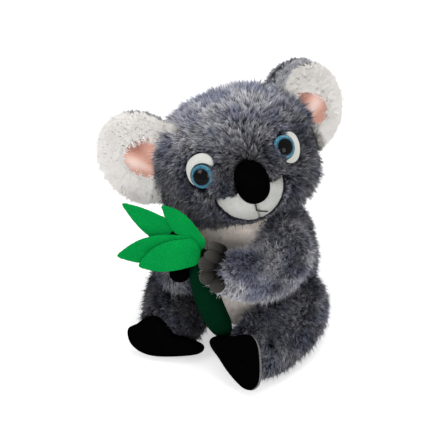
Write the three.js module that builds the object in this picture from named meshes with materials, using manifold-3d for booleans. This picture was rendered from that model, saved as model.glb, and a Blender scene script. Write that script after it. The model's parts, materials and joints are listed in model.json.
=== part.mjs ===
// A plush koala that sits holding a stuffed branch. Millimetres, +Z up.
// The koala faces -Y and its left is +X. Its pieces are placed in its own upright frame, from the middle
// of its seat, and then lean back together.
import * as THREE from 'three';
import { mergeVertices } from 'three/addons/utils/BufferGeometryUtils.js';
import Module from 'manifold-3d';

const wasm = await Module();
wasm.setup();
const { Vector3, Matrix4 } = THREE;
const degree = Math.PI / 180;

// Cloth and clearances.
const skinThickness = 4;
const feltThickness = 1.4;
const seamGap = 0.3;
const swingGap = 0.6;
const headClearance = 1.6;
const overrun = 400;

// Sitting pose: the whole koala leans back, away from a line across its front.
const leanAngle = 13 * degree;
const leanLine = new Vector3(Math.cos(20 * degree), Math.sin(20 * degree), 0);

// Torso.
const torsoHeight = 144;
const torsoWidth = 146;
const torsoDepth = 130;
const seatDepth = 9;
const torsoWideShares = [0.62, 0.9, 1, 0.97, 0.83, 0.6];
const torsoDeepShares = [0.62, 0.9, 1, 0.96, 0.84, 0.64];
const torsoEndShares = [0.34, 0.3];
const beanBagHeight = 26;
const panelBackShare = 0.2;
const panelShares = [[0.06, 0.03], [0.27, 0.16], [0.4, 0.38], [0.4, 0.62], [0.31, 0.84], [0.2, 1.1]];

// Head and neck.
const headWidth = 143;
const headDepth = 130;
const headHeight = 114;
const headForward = 21;
const headSideways = 5;
const headLiftShare = 0.57;
const headTurn = 27.5 * degree;
const headTilt = -18.5 * degree;
const headPower = 2.2;
const cheekFullness = 3.5;
const cheekShares = { aside: 0.62, down: 0.42, spread: 0.4 };
const neckRadius = 38;
const neckHeightShare = 0.632;
const turnRange = [-20 * degree, 20 * degree];
const nodRange = [-6 * degree, 8 * degree];

// Ears.
const earWidth = 69;
const earHeight = 81;
const earThickness = 18;
const earCup = 5;
const leftEarShares = [-0.03, 0.06, 0.18];
const rightEarShares = [0.11, 0.06, 0.235];
const earFlareShare = 0.25;
const earTipShare = 0.1;
const earLeanShare = 0.42;
const earRange = [-15 * degree, 15 * degree];
const liningThickness = 1.2;
const liningWidth = 34;
const liningHeight = 50;
const liningShift = 1;
const liningDrop = 8;

// Face.
const eyeDiameter = 22.6;
const eyeHeight = 7.5;
const eyeSpread = 31.5 * degree;
const eyeRise = 7.5 * degree;
const eyeStemDiameter = 4.4;
const eyeStemLength = 15;
const washerDiameter = 18;
const washerThickness = 2;
const washerDrop = 1.6;
const patchDiameter = 31;
const patchShift = 4.4;
const muzzleWidth = 67;
const muzzleDepth = 50;
const muzzleHeight = 48;
const muzzleAside = -2.3 * degree;
const muzzleDip = -24.6 * degree;
const muzzleSinkShare = 0.19;
const noseWidth = 32;
const noseHeight = 41;
const noseDepth = 26;
const noseForwardShare = 0.27;
const noseDip = -6 * degree;
const stitchDiameter = 1.5;
const stitchAngles = [[0, 6], [0, 16], [0, 26], [7, 30], [15, 29], [23, 25]];
const stitchEndShares = [0.04, 0.04];

// Arms: the shoulder as shares of the torso's half width, half depth and height, and a path to the wrist.
const armReach = 120;
const armThickness = 50;
const leftShoulderShares = [0.712, -0.277, 0.667];
const rightShoulderShares = [-0.712, -0.277, 0.646];
const leftArmPathShares = [
  [0, 0, 0], [0.084, -0.283, -0.192], [-0.05, -0.55, -0.242], [-0.216, -0.683, -0.192],
];
const rightArmPathShares = [
  [0, 0, 0], [-0.034, -0.233, -0.233], [0.083, -0.467, -0.34], [0.317, -0.633, -0.275],
];
const leftArmShares = [0.88, 1, 0.96, 0.84, 0.66];
const rightArmShares = [0.88, 0.9, 0.84, 0.74, 0.58];
const armEndShares = [0.2, 0.16];
const leftArmRange = [0, 8 * degree];
const rightArmRange = [0, 6 * degree];
const pawHeight = 46;
const pawWidth = 26;
const pawDepth = 22;
const leftPawShares = [-0.42, -0.5, 0.17];
const rightPawShares = [-0.02, -0.27, 0.36];
const fingerDiameter = 13;
const fingerHeightShares = [-0.36, -0.12, 0.12, 0.36];
const knuckleShares = [0.1, -0.2, 1];
const fingertipShares = [-0.36, -0.1, 1.1];
const fingerArchShare = 0.12;
const fingerEndShares = [0.4, 0.4];

// Legs: the hip as shares of the torso, a path to the ankle, and the feet.
const legReach = 110;
const legThickness = 76;
const leftHipShares = [0.7, 0.12, 0.257];
const rightHipShares = [-0.63, 0.1, 0.257];
const leftLegPathShares = [[0, 0, 0], [0.09, -0.364, -0.18], [0.036, -0.71, -0.31], [-0.1, -1.04, -0.336]];
const rightLegPathShares = [[0, 0, 0], [-0.02, -0.32, -0.1], [0.02, -0.65, -0.22], [0.055, -0.86, -0.3]];
const legWideShares = [0.97, 0.86, 0.74, 0.6];
const legDeepShares = [0.97, 0.8, 0.66, 0.58];
const legEndShares = [0.25, 0.14];
const legRange = [0, 10 * degree];
const soleLength = 70;
const soleThickness = 15;
const leftSoleShares = [-0.043, -0.086, -0.071];
const rightSoleShares = [0.05, -0.1, -0.02];
const leftSoleOutlineShares = [
  [-0.42, 0.2], [-0.31, 0.29], [-0.05, 0.35], [0.14, 0.42], [0.27, 0.41], [0.35, 0.3],
  [0.38, 0.12], [0.36, -0.08], [0.3, -0.19], [0.2, -0.27], [0.08, -0.22], [-0.1, -0.1], [-0.28, 0.07],
];
const rightSoleOutlineShares = [
  [-0.47, 0.1], [-0.35, 0.18], [-0.22, 0.28], [-0.09, 0.285], [0.02, 0.2], [0.14, 0.06],
  [0.33, 0.01], [0.51, -0.06], [0.46, -0.165], [0.2, -0.22], [-0.12, -0.24], [-0.32, -0.19], [-0.45, -0.07],
];

// Branch: a stuffed felt stem with felt leaves sewn on its top.
const stemLength = 84;
const stemDiameter = 23;
const stemPathShares = [
  [-0.02, 0.02, 0.12], [-0.03, 0, -0.12], [0.03, 0.01, -0.34], [0.11, 0.04, -0.57], [0.2, 0.14, -0.85],
];
const stemShares = [0.52, 0.8, 0.98, 0.9, 0.6];
const stemEndShares = [0.03, 0.16];
const branchRange = [-6 * degree, 6 * degree];
const leafLength = 76;
const leafWidth = 26;
const leafStep = 1.9;
const leafTipShares = [
  [-0.92, -0.11, 0.47], [-0.46, -0.13, 0.5], [-0.95, -0.19, -0.11], [-0.66, -0.23, -0.18],
];
const leafWidthShares = [0.42, 0.86, 1, 0.72, 0.16];
const leafEndShares = [0.05, 0.05];

const pile = { roughness: 0.95, metalness: 0 };
const cloths = {
  greyFur: new THREE.MeshStandardMaterial({ color: 0x6b6d77, ...pile }),
  whiteFur: new THREE.MeshStandardMaterial({ color: 0xdedad2, ...pile }),
  whitePlush: new THREE.MeshStandardMaterial({ color: 0xd0cdc6, ...pile }),
  pinkSatin: new THREE.MeshStandardMaterial({ color: 0xdbb0a2, roughness: 0.55, metalness: 0 }),
  blackVelvet: new THREE.MeshStandardMaterial({ color: 0x0c0c0e, ...pile }),
  taupeVelour: new THREE.MeshStandardMaterial({ color: 0x5b5955, ...pile }),
  whiteFelt: new THREE.MeshStandardMaterial({ color: 0xe4e3dd, ...pile }),
  leafFelt: new THREE.MeshStandardMaterial({ color: 0x0b8f45, ...pile }),
  stemFelt: new THREE.MeshStandardMaterial({ color: 0x0a5a35, ...pile }),
  eyePlastic: new THREE.MeshStandardMaterial({ color: 0x3f6f92, roughness: 0.1, metalness: 0 }),
  washerPlastic: new THREE.MeshStandardMaterial({ color: 0xe8e6df, roughness: 0.5, metalness: 0 }),
  thread: new THREE.MeshStandardMaterial({ color: 0x2a2624, ...pile }),
  fibre: new THREE.MeshStandardMaterial({ color: 0xf2f0ea, ...pile }),
  pellets: new THREE.MeshStandardMaterial({ color: 0xd9d2c0, ...pile }),
};

/** The pose matrix: from the koala's upright frame to the frame that it sits in. */
const sitting = new Matrix4().makeRotationAxis(leanLine, -leanAngle);

/** A closed surface over a grid: the first and last rows are single points, and the columns run round. */
function closedForm(rows, columns, pointAt) {
  const points = [pointAt(0, 0)];
  for (let row = 1; row < rows; row += 1) {
    for (let column = 0; column < columns; column += 1) {
      points.push(pointAt(row / rows, (2 * Math.PI * column) / columns));
    }
  }
  points.push(pointAt(1, 0));
  const at = (row, column) => {
    if (row === 0) return 0;
    return row === rows ? points.length - 1 : 1 + (row - 1) * columns + (column % columns);
  };
  const faces = [];
  for (let row = 0; row < rows; row += 1) {
    for (let column = 0; column < columns; column += 1) {
      const [a, b] = [at(row, column), at(row, column + 1)];
      const [c, d] = [at(row + 1, column + 1), at(row + 1, column)];
      if (row > 0) faces.push([a, b, c]);
      if (row < rows - 1) faces.push([a, c, d]);
    }
  }
  const volume = faces.reduce((sum, [a, b, c]) => {
    return sum + points[a].dot(new Vector3().crossVectors(points[b], points[c]));
  }, 0);
  const outward = volume < 0 ? faces.map(([a, b, c]) => [a, c, b]) : faces;
  const geometry = new THREE.BufferGeometry().setFromPoints(points);
  return geometry.setIndex(outward.flat());
}

/** A closed geometry as a solid, with its shared vertices merged. */
function solid(geometry, matrix = new Matrix4()) {
  const bare = geometry.clone().applyMatrix4(matrix);
  bare.deleteAttribute('normal');
  bare.deleteAttribute('uv');
  const merged = mergeVertices(bare);
  return new wasm.Manifold(new wasm.Mesh({
    numProp: 3,
    vertProperties: new Float32Array(merged.attributes.position.array),
    triVerts: new Uint32Array(merged.index.array),
  }));
}

const rotationAbout = (pivot, axis, angle) => new Matrix4()
  .makeTranslation(pivot)
  .multiply(new Matrix4().makeRotationAxis(axis, angle))
  .multiply(new Matrix4().makeTranslation(pivot.clone().negate()));

/** A solid turned about a joint. */
function turned(piece, { pivot, axis }, angle) {
  return piece.transform(rotationAbout(pivot, axis, angle).elements);
}

/** Evenly spaced angles over a joint's range, with rest among them. */
function anglesOver([low, high], steps = 4) {
  const spaced = Array.from({ length: steps + 1 }, (_, step) => low + ((high - low) * step) / steps);
  return [0, ...spaced.filter((angle) => angle !== 0)];
}

/** The part of a solid that stays clear of the obstacles while it turns through a joint's range. */
function clearOf(piece, obstacles, joint = null) {
  const angles = joint ? anglesOver(joint.range, 2) : [0];
  return angles.reduce((left, angle) => obstacles.reduce((rest, obstacle) => {
    return rest.subtract(angle === 0 ? obstacle : turned(obstacle, joint, -angle));
  }, left), piece);
}

/** An obstacle together with where it goes as it turns through its own joint's range. */
function swept(piece, joint) {
  return anglesOver(joint.range).reduce((all, angle) => {
    return angle === 0 ? all : all.add(turned(piece, joint, angle));
  }, piece);
}

/** The largest body of a solid: what a cut leaves beside it is trimmed away. */
function largest(piece) {
  return piece.decompose().reduce((best, body) => (body.volume() > best.volume() ? body : best));
}

/** A slab that reaches down from a given height, in the frame that the koala sits in. */
function below(height) {
  const slab = new THREE.BoxGeometry(overrun, overrun, overrun);
  return solid(slab, new Matrix4().makeTranslation(0, 0, height - overrun / 2));
}

/** A smooth curve through a list of numbers or pairs, read at a share from 0 to 1. */
function profile(shares) {
  const points = shares.map((share) => new Vector3(...[share].flat(), 0));
  const curve = new THREE.CatmullRomCurve3(points, false, 'catmullrom');
  return (share) => curve.getPoint(share);
}

/** Rounds a tube's ends as an ellipse does, over the given shares of its length. */
function endRounding(share, [first, last]) {
  const start = Math.min(share / first, 1);
  const finish = Math.min((1 - share) / last, 1);
  return Math.sqrt(1 - (1 - start) ** 2) * Math.sqrt(1 - (1 - finish) ** 2);
}

/** A stuffed tube along a path: an oval section whose half-sizes follow the shares, with round ends. */
function tube({ path, wide, deep = wide, ends, up, rows, columns, grow = 0 }) {
  const line = new THREE.CatmullRomCurve3(path, false, 'catmullrom');
  const wideAt = profile(wide);
  const deepAt = profile(deep);
  return closedForm(rows, columns, (row, angle) => {
    const share = (1 - Math.cos(Math.PI * row)) / 2;
    const tangent = line.getTangent(share);
    const across = new Vector3().crossVectors(tangent, up).normalize();
    const over = new Vector3().crossVectors(across, tangent);
    const round = endRounding(share, ends);
    return line.getPoint(share)
      .addScaledVector(tangent, grow * (2 * share - 1))
      .addScaledVector(across, Math.cos(angle) * round * (wideAt(share).x + grow))
      .addScaledVector(over, Math.sin(angle) * round * (deepAt(share).x + grow));
  });
}

/** How far an egg's surface lies from its middle in a direction: a superellipsoid of given half-sizes. */
function eggRadius(direction, halves, power) {
  const sum = Math.abs(direction.x / halves.x) ** power
    + Math.abs(direction.y / halves.y) ** power
    + Math.abs(direction.z / halves.z) ** power;
  return sum ** (-1 / power);
}

/** The direction at an angle down from the top and an angle round. */
const directionAt = (down, round) => new Vector3(
  Math.sin(down) * Math.cos(round),
  Math.sin(down) * Math.sin(round),
  Math.cos(down),
);

/** An egg with its middle at the origin. */
function egg(halves, rows, columns, grow = 0, power = 2) {
  const grown = halves.clone().addScalar(grow);
  return closedForm(rows, columns, (row, angle) => {
    const direction = directionAt(Math.PI * row, angle);
    return direction.multiplyScalar(eggRadius(direction, grown, power));
  });
}

const half = (width, depth, height) => new Vector3(width, depth, height).multiplyScalar(0.5);
const placed = (shares, size) => shares.map((share) => new Vector3(...share).multiplyScalar(size));
const scaled = (shares, size) => shares.map((share) => (share * size) / 2);

// Torso form, in the sitting frame.
const torsoLine = [0, 1 / 3, 2 / 3, 1].map((share) => {
  return new Vector3(0, -seamGap, share * torsoHeight - seatDepth);
});
function torsoForm(grow, rows = 12, columns = 24) {
  return solid(tube({
    path: torsoLine,
    wide: scaled(torsoWideShares, torsoWidth),
    deep: scaled(torsoDeepShares, torsoDepth),
    ends: torsoEndShares,
    up: new Vector3(0, -1, 0),
    rows,
    columns,
    grow,
  }), sitting);
}

// Head form: an egg with full cheeks, turned and tilted on the neck.
const headHalves = half(headWidth, headDepth, headHeight);
const headPlace = new Matrix4()
  .makeTranslation(headSideways, -headForward, neckHeightShare * torsoHeight + headLiftShare * headHeight)
  .multiply(new Matrix4().makeRotationZ(headTurn))
  .multiply(new Matrix4().makeRotationY(headTilt));
const headFrame = sitting.clone().multiply(headPlace);

/** How far the head's surface lies from its middle in a direction of the head's own frame. */
function headRadius(direction, grow = 0) {
  const side = Math.abs(direction.x) - cheekShares.aside;
  const low = direction.z + cheekShares.down;
  const cheek = cheekFullness * Math.exp(-(side * side + low * low) / cheekShares.spread ** 2);
  return eggRadius(direction, headHalves.clone().addScalar(grow), headPower) + cheek;
}

/** A point over the head: angles to the koala's left of its face and up, and a height off the surface. */
function headPoint(aside, up, out = 0) {
  const direction = directionAt(Math.PI / 2 - up, aside - Math.PI / 2);
  return direction.multiplyScalar(headRadius(direction) + out);
}

function headForm(grow, rows = 12, columns = 24) {
  return solid(closedForm(rows, columns, (row, angle) => {
    const direction = directionAt(Math.PI * row, angle);
    return direction.multiplyScalar(headRadius(direction, grow));
  }), headFrame);
}

// Joints: a pivot and an axis in the sitting frame, with the range that the seam allows.
const upright = new Vector3(0, 0, 1).transformDirection(sitting);
const sideways = new Vector3(1, 0, 0).transformDirection(sitting);
const seated = (x, y, z) => new Vector3(x, y, z).applyMatrix4(sitting);
const onTorso = ([x, y, z]) => new Vector3((x * torsoWidth) / 2, (y * torsoDepth) / 2, z * torsoHeight);
const limbPath = (root, shares, reach) => placed(shares, reach).map((point) => point.add(onTorso(root)));
const neckPivot = seated(0, -seamGap, neckHeightShare * torsoHeight);
const turnJoint = { pivot: neckPivot, axis: upright, range: turnRange };
const nodJoint = { pivot: neckPivot, axis: sideways, range: nodRange };
const worldUp = new Vector3(0, 0, 1);
const armJoints = {
  left: {
    pivot: seated(...onTorso(leftShoulderShares).toArray()),
    axis: sideways.clone().negate(),
    range: leftArmRange,
  },
  right: {
    pivot: seated(...onTorso(rightShoulderShares).toArray()),
    axis: sideways.clone().multiplyScalar(2).add(upright).normalize().negate(),
    range: rightArmRange,
  },
};
const legJoints = {
  left: {
    pivot: seated(...onTorso(leftHipShares).toArray()),
    axis: worldUp,
    range: legRange,
  },
  right: {
    pivot: seated(...onTorso(rightHipShares).toArray()),
    axis: worldUp.clone().negate(),
    range: legRange,
  },
};

/** All the room that the head takes as it turns and nods: the furthest of its places in each direction. */
function headRoom(grow, rows = 12, columns = 20) {
  const middle = new Vector3().applyMatrix4(headFrame);
  const back = headFrame.clone().invert();
  const turns = [turnRange[0], turnRange[0] / 2, 0, turnRange[1] / 2, turnRange[1]];
  const nods = [nodRange[0], 0, nodRange[1]];
  const places = turns.flatMap((turn) => nods.map((nod) => back.clone()
    .multiply(rotationAbout(neckPivot, sideways, -nod))
    .multiply(rotationAbout(neckPivot, upright, -turn))));
  const holds = (point) => places.some((place) => {
    const local = point.clone().applyMatrix4(place);
    const distance = local.length();
    return distance < headRadius(local.normalize(), grow);
  });
  return solid(closedForm(rows, columns, (row, angle) => {
    const direction = directionAt(Math.PI * row, angle);
    let [near, far] = [0, headWidth];
    for (let step = 0; step < 24; step += 1) {
      const trial = (near + far) / 2;
      if (holds(middle.clone().addScaledVector(direction, trial))) near = trial;
      else far = trial;
    }
    return middle.clone().addScaledVector(direction, far);
  }));
}

const floor = below(0);
const raisedFloor = below(skinThickness);
const neckBall = (grow) => {
  const halves = new Vector3(neckRadius, neckRadius, neckRadius);
  const place = sitting.clone().setPosition(neckPivot);
  return solid(egg(halves, 12, 24, grow), place);
};

// Limb forms.
function limbForm({ path, shares, deepShares = shares, thickness, ends }, grow) {
  return solid(tube({
    path,
    wide: scaled(shares, thickness),
    deep: scaled(deepShares, thickness),
    ends,
    up: new Vector3(0, 0, 1),
    rows: 10,
    columns: 16,
    grow,
  }), sitting);
}
const armForms = {
  left: {
    path: limbPath(leftShoulderShares, leftArmPathShares, armReach),
    shares: leftArmShares,
    thickness: armThickness,
    ends: armEndShares,
  },
  right: {
    path: limbPath(rightShoulderShares, rightArmPathShares, armReach),
    shares: rightArmShares,
    thickness: armThickness,
    ends: armEndShares,
  },
};
const legForms = {
  left: {
    path: limbPath(leftHipShares, leftLegPathShares, legReach),
    shares: legWideShares,
    deepShares: legDeepShares,
    thickness: legThickness,
    ends: legEndShares,
  },
  right: {
    path: limbPath(rightHipShares, rightLegPathShares, legReach),
    shares: legWideShares,
    deepShares: legDeepShares,
    thickness: legThickness,
    ends: legEndShares,
  },
};

/** A round bar with its axis along Z, from one height to another. */
function bar(radius, low, high, columns = 10) {
  const geometry = new THREE.CylinderGeometry(radius, radius, high - low, columns);
  return geometry.rotateX(Math.PI / 2).translate(0, 0, (low + high) / 2);
}

/** A half pillow: an outline swollen to one side of its cupped middle sheet. */
function halfPillow({ outline, swell, gap, cup, rows = 8, columns = 20, grow = 0 }) {
  return closedForm(rows, columns, (row, angle) => {
    const share = Math.sin(Math.PI * row);
    const edge = outline(angle);
    const reach = share * (1 + grow / edge.length());
    const height = row < 0.5 ? (swell + grow) * Math.sqrt(1 - Math.min(share, 1) ** 3) : 0;
    return new Vector3(edge.x * reach, edge.y * reach, gap + height + cup * share * share);
  });
}

/** The matrix whose Z axis points along a direction, with its Y axis as near a given up as it can be. */
function facing(place, direction, up) {
  const z = direction.clone().normalize();
  const x = new Vector3().crossVectors(up, z).normalize();
  const y = new Vector3().crossVectors(z, x);
  return new Matrix4().makeBasis(x, y, z).setPosition(place);
}

// Scene graph: one group for each moving body, placed at its joint.
const koala = new THREE.Group();
function bodyGroup(joint, parent = koala) {
  const group = new THREE.Group();
  const parentPlace = parent.userData.pivot ?? new Vector3();
  group.userData = joint;
  group.position.copy(joint.pivot).sub(parentPlace);
  parent.add(group);
  return group;
}

/** Adds a named piece to its body, with its mesh written from the body's joint. */
function addPiece(group, name, piece, material) {
  const { vertProperties, triVerts } = piece.getMesh();
  const geometry = new THREE.BufferGeometry();
  geometry.setAttribute('position', new THREE.BufferAttribute(new Float32Array(vertProperties), 3));
  geometry.setIndex(new THREE.BufferAttribute(new Uint32Array(triVerts), 1));
  geometry.translate(...(group.userData.pivot ?? new Vector3()).clone().negate().toArray());
  geometry.computeVertexNormals();
  const mesh = new THREE.Mesh(geometry, material.clone());
  mesh.name = name;
  group.add(mesh);
}

// Torso: a skin with a white front panel, open at the neck, over its stuffing and a bag of pellets.
function torso() {
  const room = headRoom(headClearance);
  const socket = neckBall(swingGap);
  const outside = torsoForm(0).subtract(floor);
  const inside = torsoForm(-skinThickness).subtract(raisedFloor);
  const skin = outside.subtract(inside).subtract(room).subtract(socket);
  const side = (grow) => {
    const right = panelShares.map(([x, z]) => [x * torsoWidth + grow, z * torsoHeight - seatDepth]);
    const left = right.map(([x, z]) => [-x, z]).reverse();
    const shape = new THREE.Shape([...right, ...left].map(([x, z]) => new THREE.Vector2(x, z)));
    const prism = new THREE.ExtrudeGeometry(shape, { depth: overrun, bevelEnabled: false, steps: 1 });
    return solid(prism.rotateX(Math.PI / 2).translate(0, grow - panelBackShare * torsoDepth, 0), sitting);
  };
  const filling = torsoForm(-skinThickness - seamGap).subtract(below(skinThickness + seamGap));
  addPiece(koala, 'body_skin', skin.subtract(side(seamGap)), cloths.greyFur);
  addPiece(koala, 'front_panel', skin.intersect(side(0)), cloths.whitePlush);
  const fibre = clearOf(filling, [room, socket, below(beanBagHeight)]);
  addPiece(koala, 'body_stuffing', fibre, cloths.fibre);
  addPiece(koala, 'pellet_bag', filling.intersect(below(beanBagHeight - seamGap)), cloths.pellets);
}

// Head: a skin open at the neck, its stuffing, the face and two ears.
const neckGroup = bodyGroup(turnJoint);
const headGroup = bodyGroup(nodJoint, neckGroup);

function eyeFrame(side) {
  const place = headPoint(side * eyeSpread, eyeRise);
  const step = 2 * degree;
  const near = (aside, up) => headPoint(side * eyeSpread + aside, eyeRise + up);
  const across = near(step, 0).sub(near(-step, 0));
  const rise = near(0, step).sub(near(0, -step));
  const normal = new Vector3().crossVectors(across, rise).normalize();
  return headFrame.clone().multiply(facing(place, normal, new Vector3(0, 0, 1)));
}

const muzzlePlace = headPoint(muzzleAside, muzzleDip, -muzzleSinkShare * muzzleDepth);
const muzzleFrame = headFrame.clone().multiply(new Matrix4().makeTranslation(muzzlePlace));
const muzzleHalves = half(muzzleWidth, muzzleDepth, muzzleHeight);
const muzzleForm = (grow) => solid(egg(muzzleHalves, 12, 20, grow), muzzleFrame);

/** Where the muzzle goes as the head turns and nods. */
function muzzleRoom(grow) {
  const places = anglesOver(turnRange, 2).flatMap((turn) => nodRange.map((nod) => {
    return rotationAbout(neckPivot, upright, turn).multiply(rotationAbout(neckPivot, sideways, nod));
  }));
  const muzzle = muzzleForm(grow);
  return places.reduce((all, place) => all.add(muzzle.transform(place.elements)), muzzle);
}

function head() {
  const socket = neckBall(swingGap);
  const stems = [1, -1].map((side) => solid(
    bar(eyeStemDiameter / 2 + seamGap, -eyeStemLength - seamGap, eyeHeight),
    eyeFrame(side),
  ));
  const washerTop = -skinThickness - washerDrop;
  const washerRoom = (top) => [1, -1].map((side) => solid(
    bar(washerDiameter / 2 + seamGap, washerTop - washerThickness - seamGap, top, 16),
    eyeFrame(side),
  ));
  const skin = headForm(0).subtract(headForm(-skinThickness)).subtract(socket);
  const stuffing = headForm(-skinThickness - seamGap).subtract(socket);
  const cutSkin = clearOf(skin, [...stems, ...washerRoom(washerTop + seamGap)]);
  addPiece(headGroup, 'head_skin', cutSkin, cloths.greyFur);
  addPiece(headGroup, 'head_stuffing', clearOf(stuffing, [...stems, ...washerRoom(0)]), cloths.fibre);
  [1, -1].forEach((side, index) => {
    const name = side > 0 ? 'left' : 'right';
    const frame = eyeFrame(side);
    const seat = feltThickness + 2 * seamGap;
    const dome = [[1, 0], [0.98, 0.2], [0.87, 0.5], [0.64, 0.78], [0.34, 0.95], [0, 1]];
    const outline = [
      new THREE.Vector2(0, -eyeStemLength),
      new THREE.Vector2(eyeStemDiameter / 2, -eyeStemLength),
      new THREE.Vector2(eyeStemDiameter / 2, seat),
      ...dome.map(([x, z]) => new THREE.Vector2((x * eyeDiameter) / 2, seat + z * eyeHeight)),
    ];
    const eye = new THREE.LatheGeometry(outline, 16).rotateX(Math.PI / 2);
    addPiece(headGroup, `eye_${name}`, solid(eye, frame), cloths.eyePlastic);
    const hole = bar(eyeStemDiameter / 2 + seamGap, -overrun / 2, overrun / 2);
    const disc = solid(bar(washerDiameter / 2, washerTop - washerThickness, washerTop, 16));
    const washer = disc.subtract(solid(hole));
    addPiece(headGroup, `eye_washer_${name}`, washer.transform(frame.elements), cloths.washerPlastic);
    const patch = bar(patchDiameter / 2, -patchDiameter / 2, patchDiameter / 2, 18);
    patch.translate(side * patchShift, 0, 0);
    const felt = headForm(seamGap + feltThickness).subtract(headForm(seamGap))
      .intersect(solid(patch, frame)).subtract(stems[index]);
    addPiece(headGroup, `eye_felt_${name}`, felt, cloths.whiteFelt);
  });
}

function face() {
  const muzzle = muzzleForm(0).subtract(headForm(seamGap));
  const halfBox = (side) => solid(
    new THREE.BoxGeometry(overrun, overrun, overrun).translate(side * (overrun / 2 + seamGap / 2), 0, 0),
    muzzleFrame,
  );
  addPiece(headGroup, 'muzzle_left', muzzle.intersect(halfBox(1)), cloths.whitePlush);
  addPiece(headGroup, 'muzzle_right', muzzle.intersect(halfBox(-1)), cloths.whitePlush);
  const nosePlace = headPoint(0, noseDip, noseForwardShare * noseDepth);
  const noseFrame = headFrame.clone().multiply(new Matrix4().makeTranslation(nosePlace));
  const nose = solid(egg(half(noseWidth, noseDepth, noseHeight), 10, 16), noseFrame);
  addPiece(headGroup, 'nose', clearOf(nose, [headForm(seamGap), muzzleForm(seamGap)]), cloths.blackVelvet);
  const lift = seamGap + stitchDiameter / 2;
  const route = stitchAngles.map(([aside, down]) => {
    const direction = directionAt(Math.PI / 2 + down * degree, aside * degree - Math.PI / 2);
    return direction.multiplyScalar(eggRadius(direction, muzzleHalves.clone().addScalar(lift), 2));
  });
  const thread = solid(tube({
    path: route,
    wide: scaled([1, 1, 1], stitchDiameter),
    ends: stitchEndShares,
    up: new Vector3(0, 1, 0),
    rows: 10,
    columns: 6,
  }), muzzleFrame);
  addPiece(headGroup, 'mouth_stitch', clearOf(thread, [muzzleForm(seamGap), nose]), cloths.thread);
}

function ears() {
  [1, -1].forEach((side) => {
    const name = side > 0 ? 'left' : 'right';
    const [reach, back, raise] = side > 0 ? leftEarShares : rightEarShares;
    const aside = headWidth / 2 + reach * earWidth;
    const middle = new Vector3(side * aside, back * headDepth, raise * headHeight);
    const ahead = new Vector3(side * earFlareShare, -1, earTipShare);
    const up = new Vector3(side * earLeanShare, 0, 1);
    const frame = headFrame.clone().multiply(facing(middle, ahead, up));
    const rise = Math.atan2(middle.z, headWidth / 2);
    const pivot = headPoint(side * Math.PI / 2, rise).applyMatrix4(headFrame);
    const axis = new Vector3(0, 1, 0).transformDirection(frame);
    const joint = { pivot, axis, range: earRange };
    const group = bodyGroup(joint, headGroup);
    const halfOval = half(earWidth, earHeight, 0);
    const oval = (angle) => new Vector3(Math.cos(angle), Math.sin(angle), 0).multiply(halfOval);
    const pillow = { outline: oval, swell: earThickness / 2, gap: seamGap / 2 };
    const front = (grow) => solid(halfPillow({ ...pillow, cup: earCup, grow }), frame);
    const flip = new Matrix4().makeScale(1, 1, -1);
    const backGeometry = halfPillow({ ...pillow, cup: -earCup });
    const rear = solid(mirrored(backGeometry, flip), frame);
    const obstacles = [headForm(seamGap)];
    const lining = new THREE.CylinderGeometry(liningWidth / 2, liningWidth / 2, earThickness * 2, 18)
      .rotateX(Math.PI / 2)
      .scale(1, liningHeight / liningWidth, 1)
      .translate(-side * liningShift, -liningDrop, earThickness);
    const satin = front(seamGap + liningThickness).subtract(front(seamGap)).intersect(solid(lining, frame));
    addPiece(group, `ear_back_${name}`, clearOf(rear, obstacles, joint), cloths.greyFur);
    addPiece(group, `ear_front_${name}`, clearOf(front(0), obstacles, joint), cloths.whiteFur);
    addPiece(group, `ear_lining_${name}`, largest(clearOf(satin, obstacles, joint)), cloths.pinkSatin);
  });
}

/** A closed geometry mirrored by a matrix, with its faces turned so that they still point out. */
function mirrored(geometry, matrix) {
  const copy = geometry.clone().applyMatrix4(matrix);
  const order = copy.index.array;
  for (let face = 0; face < order.length; face += 3) {
    [order[face], order[face + 1]] = [order[face + 1], order[face]];
  }
  return copy;
}

// Legs: a stuffed thigh and shin that end in a velvet foot.
const legRoom = (name, grow) => swept(limbForm(legForms[name], grow), legJoints[name]);

/** A smooth closed outline through points written as shares of a size. */
function outlineThrough(shares, size) {
  const points = shares.map(([x, y]) => new Vector3(x * size, y * size, 0));
  const curve = new THREE.CatmullRomCurve3(points, true, 'catmullrom');
  return (angle) => curve.getPoint((angle / (2 * Math.PI)) % 1);
}

/** The direction of a limb's last stretch, in the sitting frame. */
function limbEnd({ path }) {
  const [before, last] = path.slice(-2);
  return last.clone().sub(before).normalize();
}

function soleForm(name, grow) {
  const [outlineShares, placeShares] = name === 'left'
    ? [leftSoleOutlineShares, leftSoleShares]
    : [rightSoleOutlineShares, rightSoleShares];
  const ahead = limbEnd(legForms[name]).setZ(0);
  const place = new Vector3(...placeShares).multiplyScalar(soleLength).add(legForms[name].path.at(-1));
  const frame = sitting.clone()
    .multiply(facing(place, ahead, new Vector3(0, 0, 1)));
  const outline = outlineThrough(outlineShares, soleLength);
  const halves = (share) => Math.sqrt(1 - share ** 4) * (soleThickness / 2 + grow);
  return solid(closedForm(8, 22, (row, angle) => {
    const share = Math.min(Math.sin(Math.PI * row), 1);
    const edge = outline(angle);
    const reach = share * (1 + grow / edge.length());
    return new Vector3(edge.x * reach, edge.y * reach, (row < 0.5 ? 1 : -1) * halves(share));
  }), frame);
}

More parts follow.
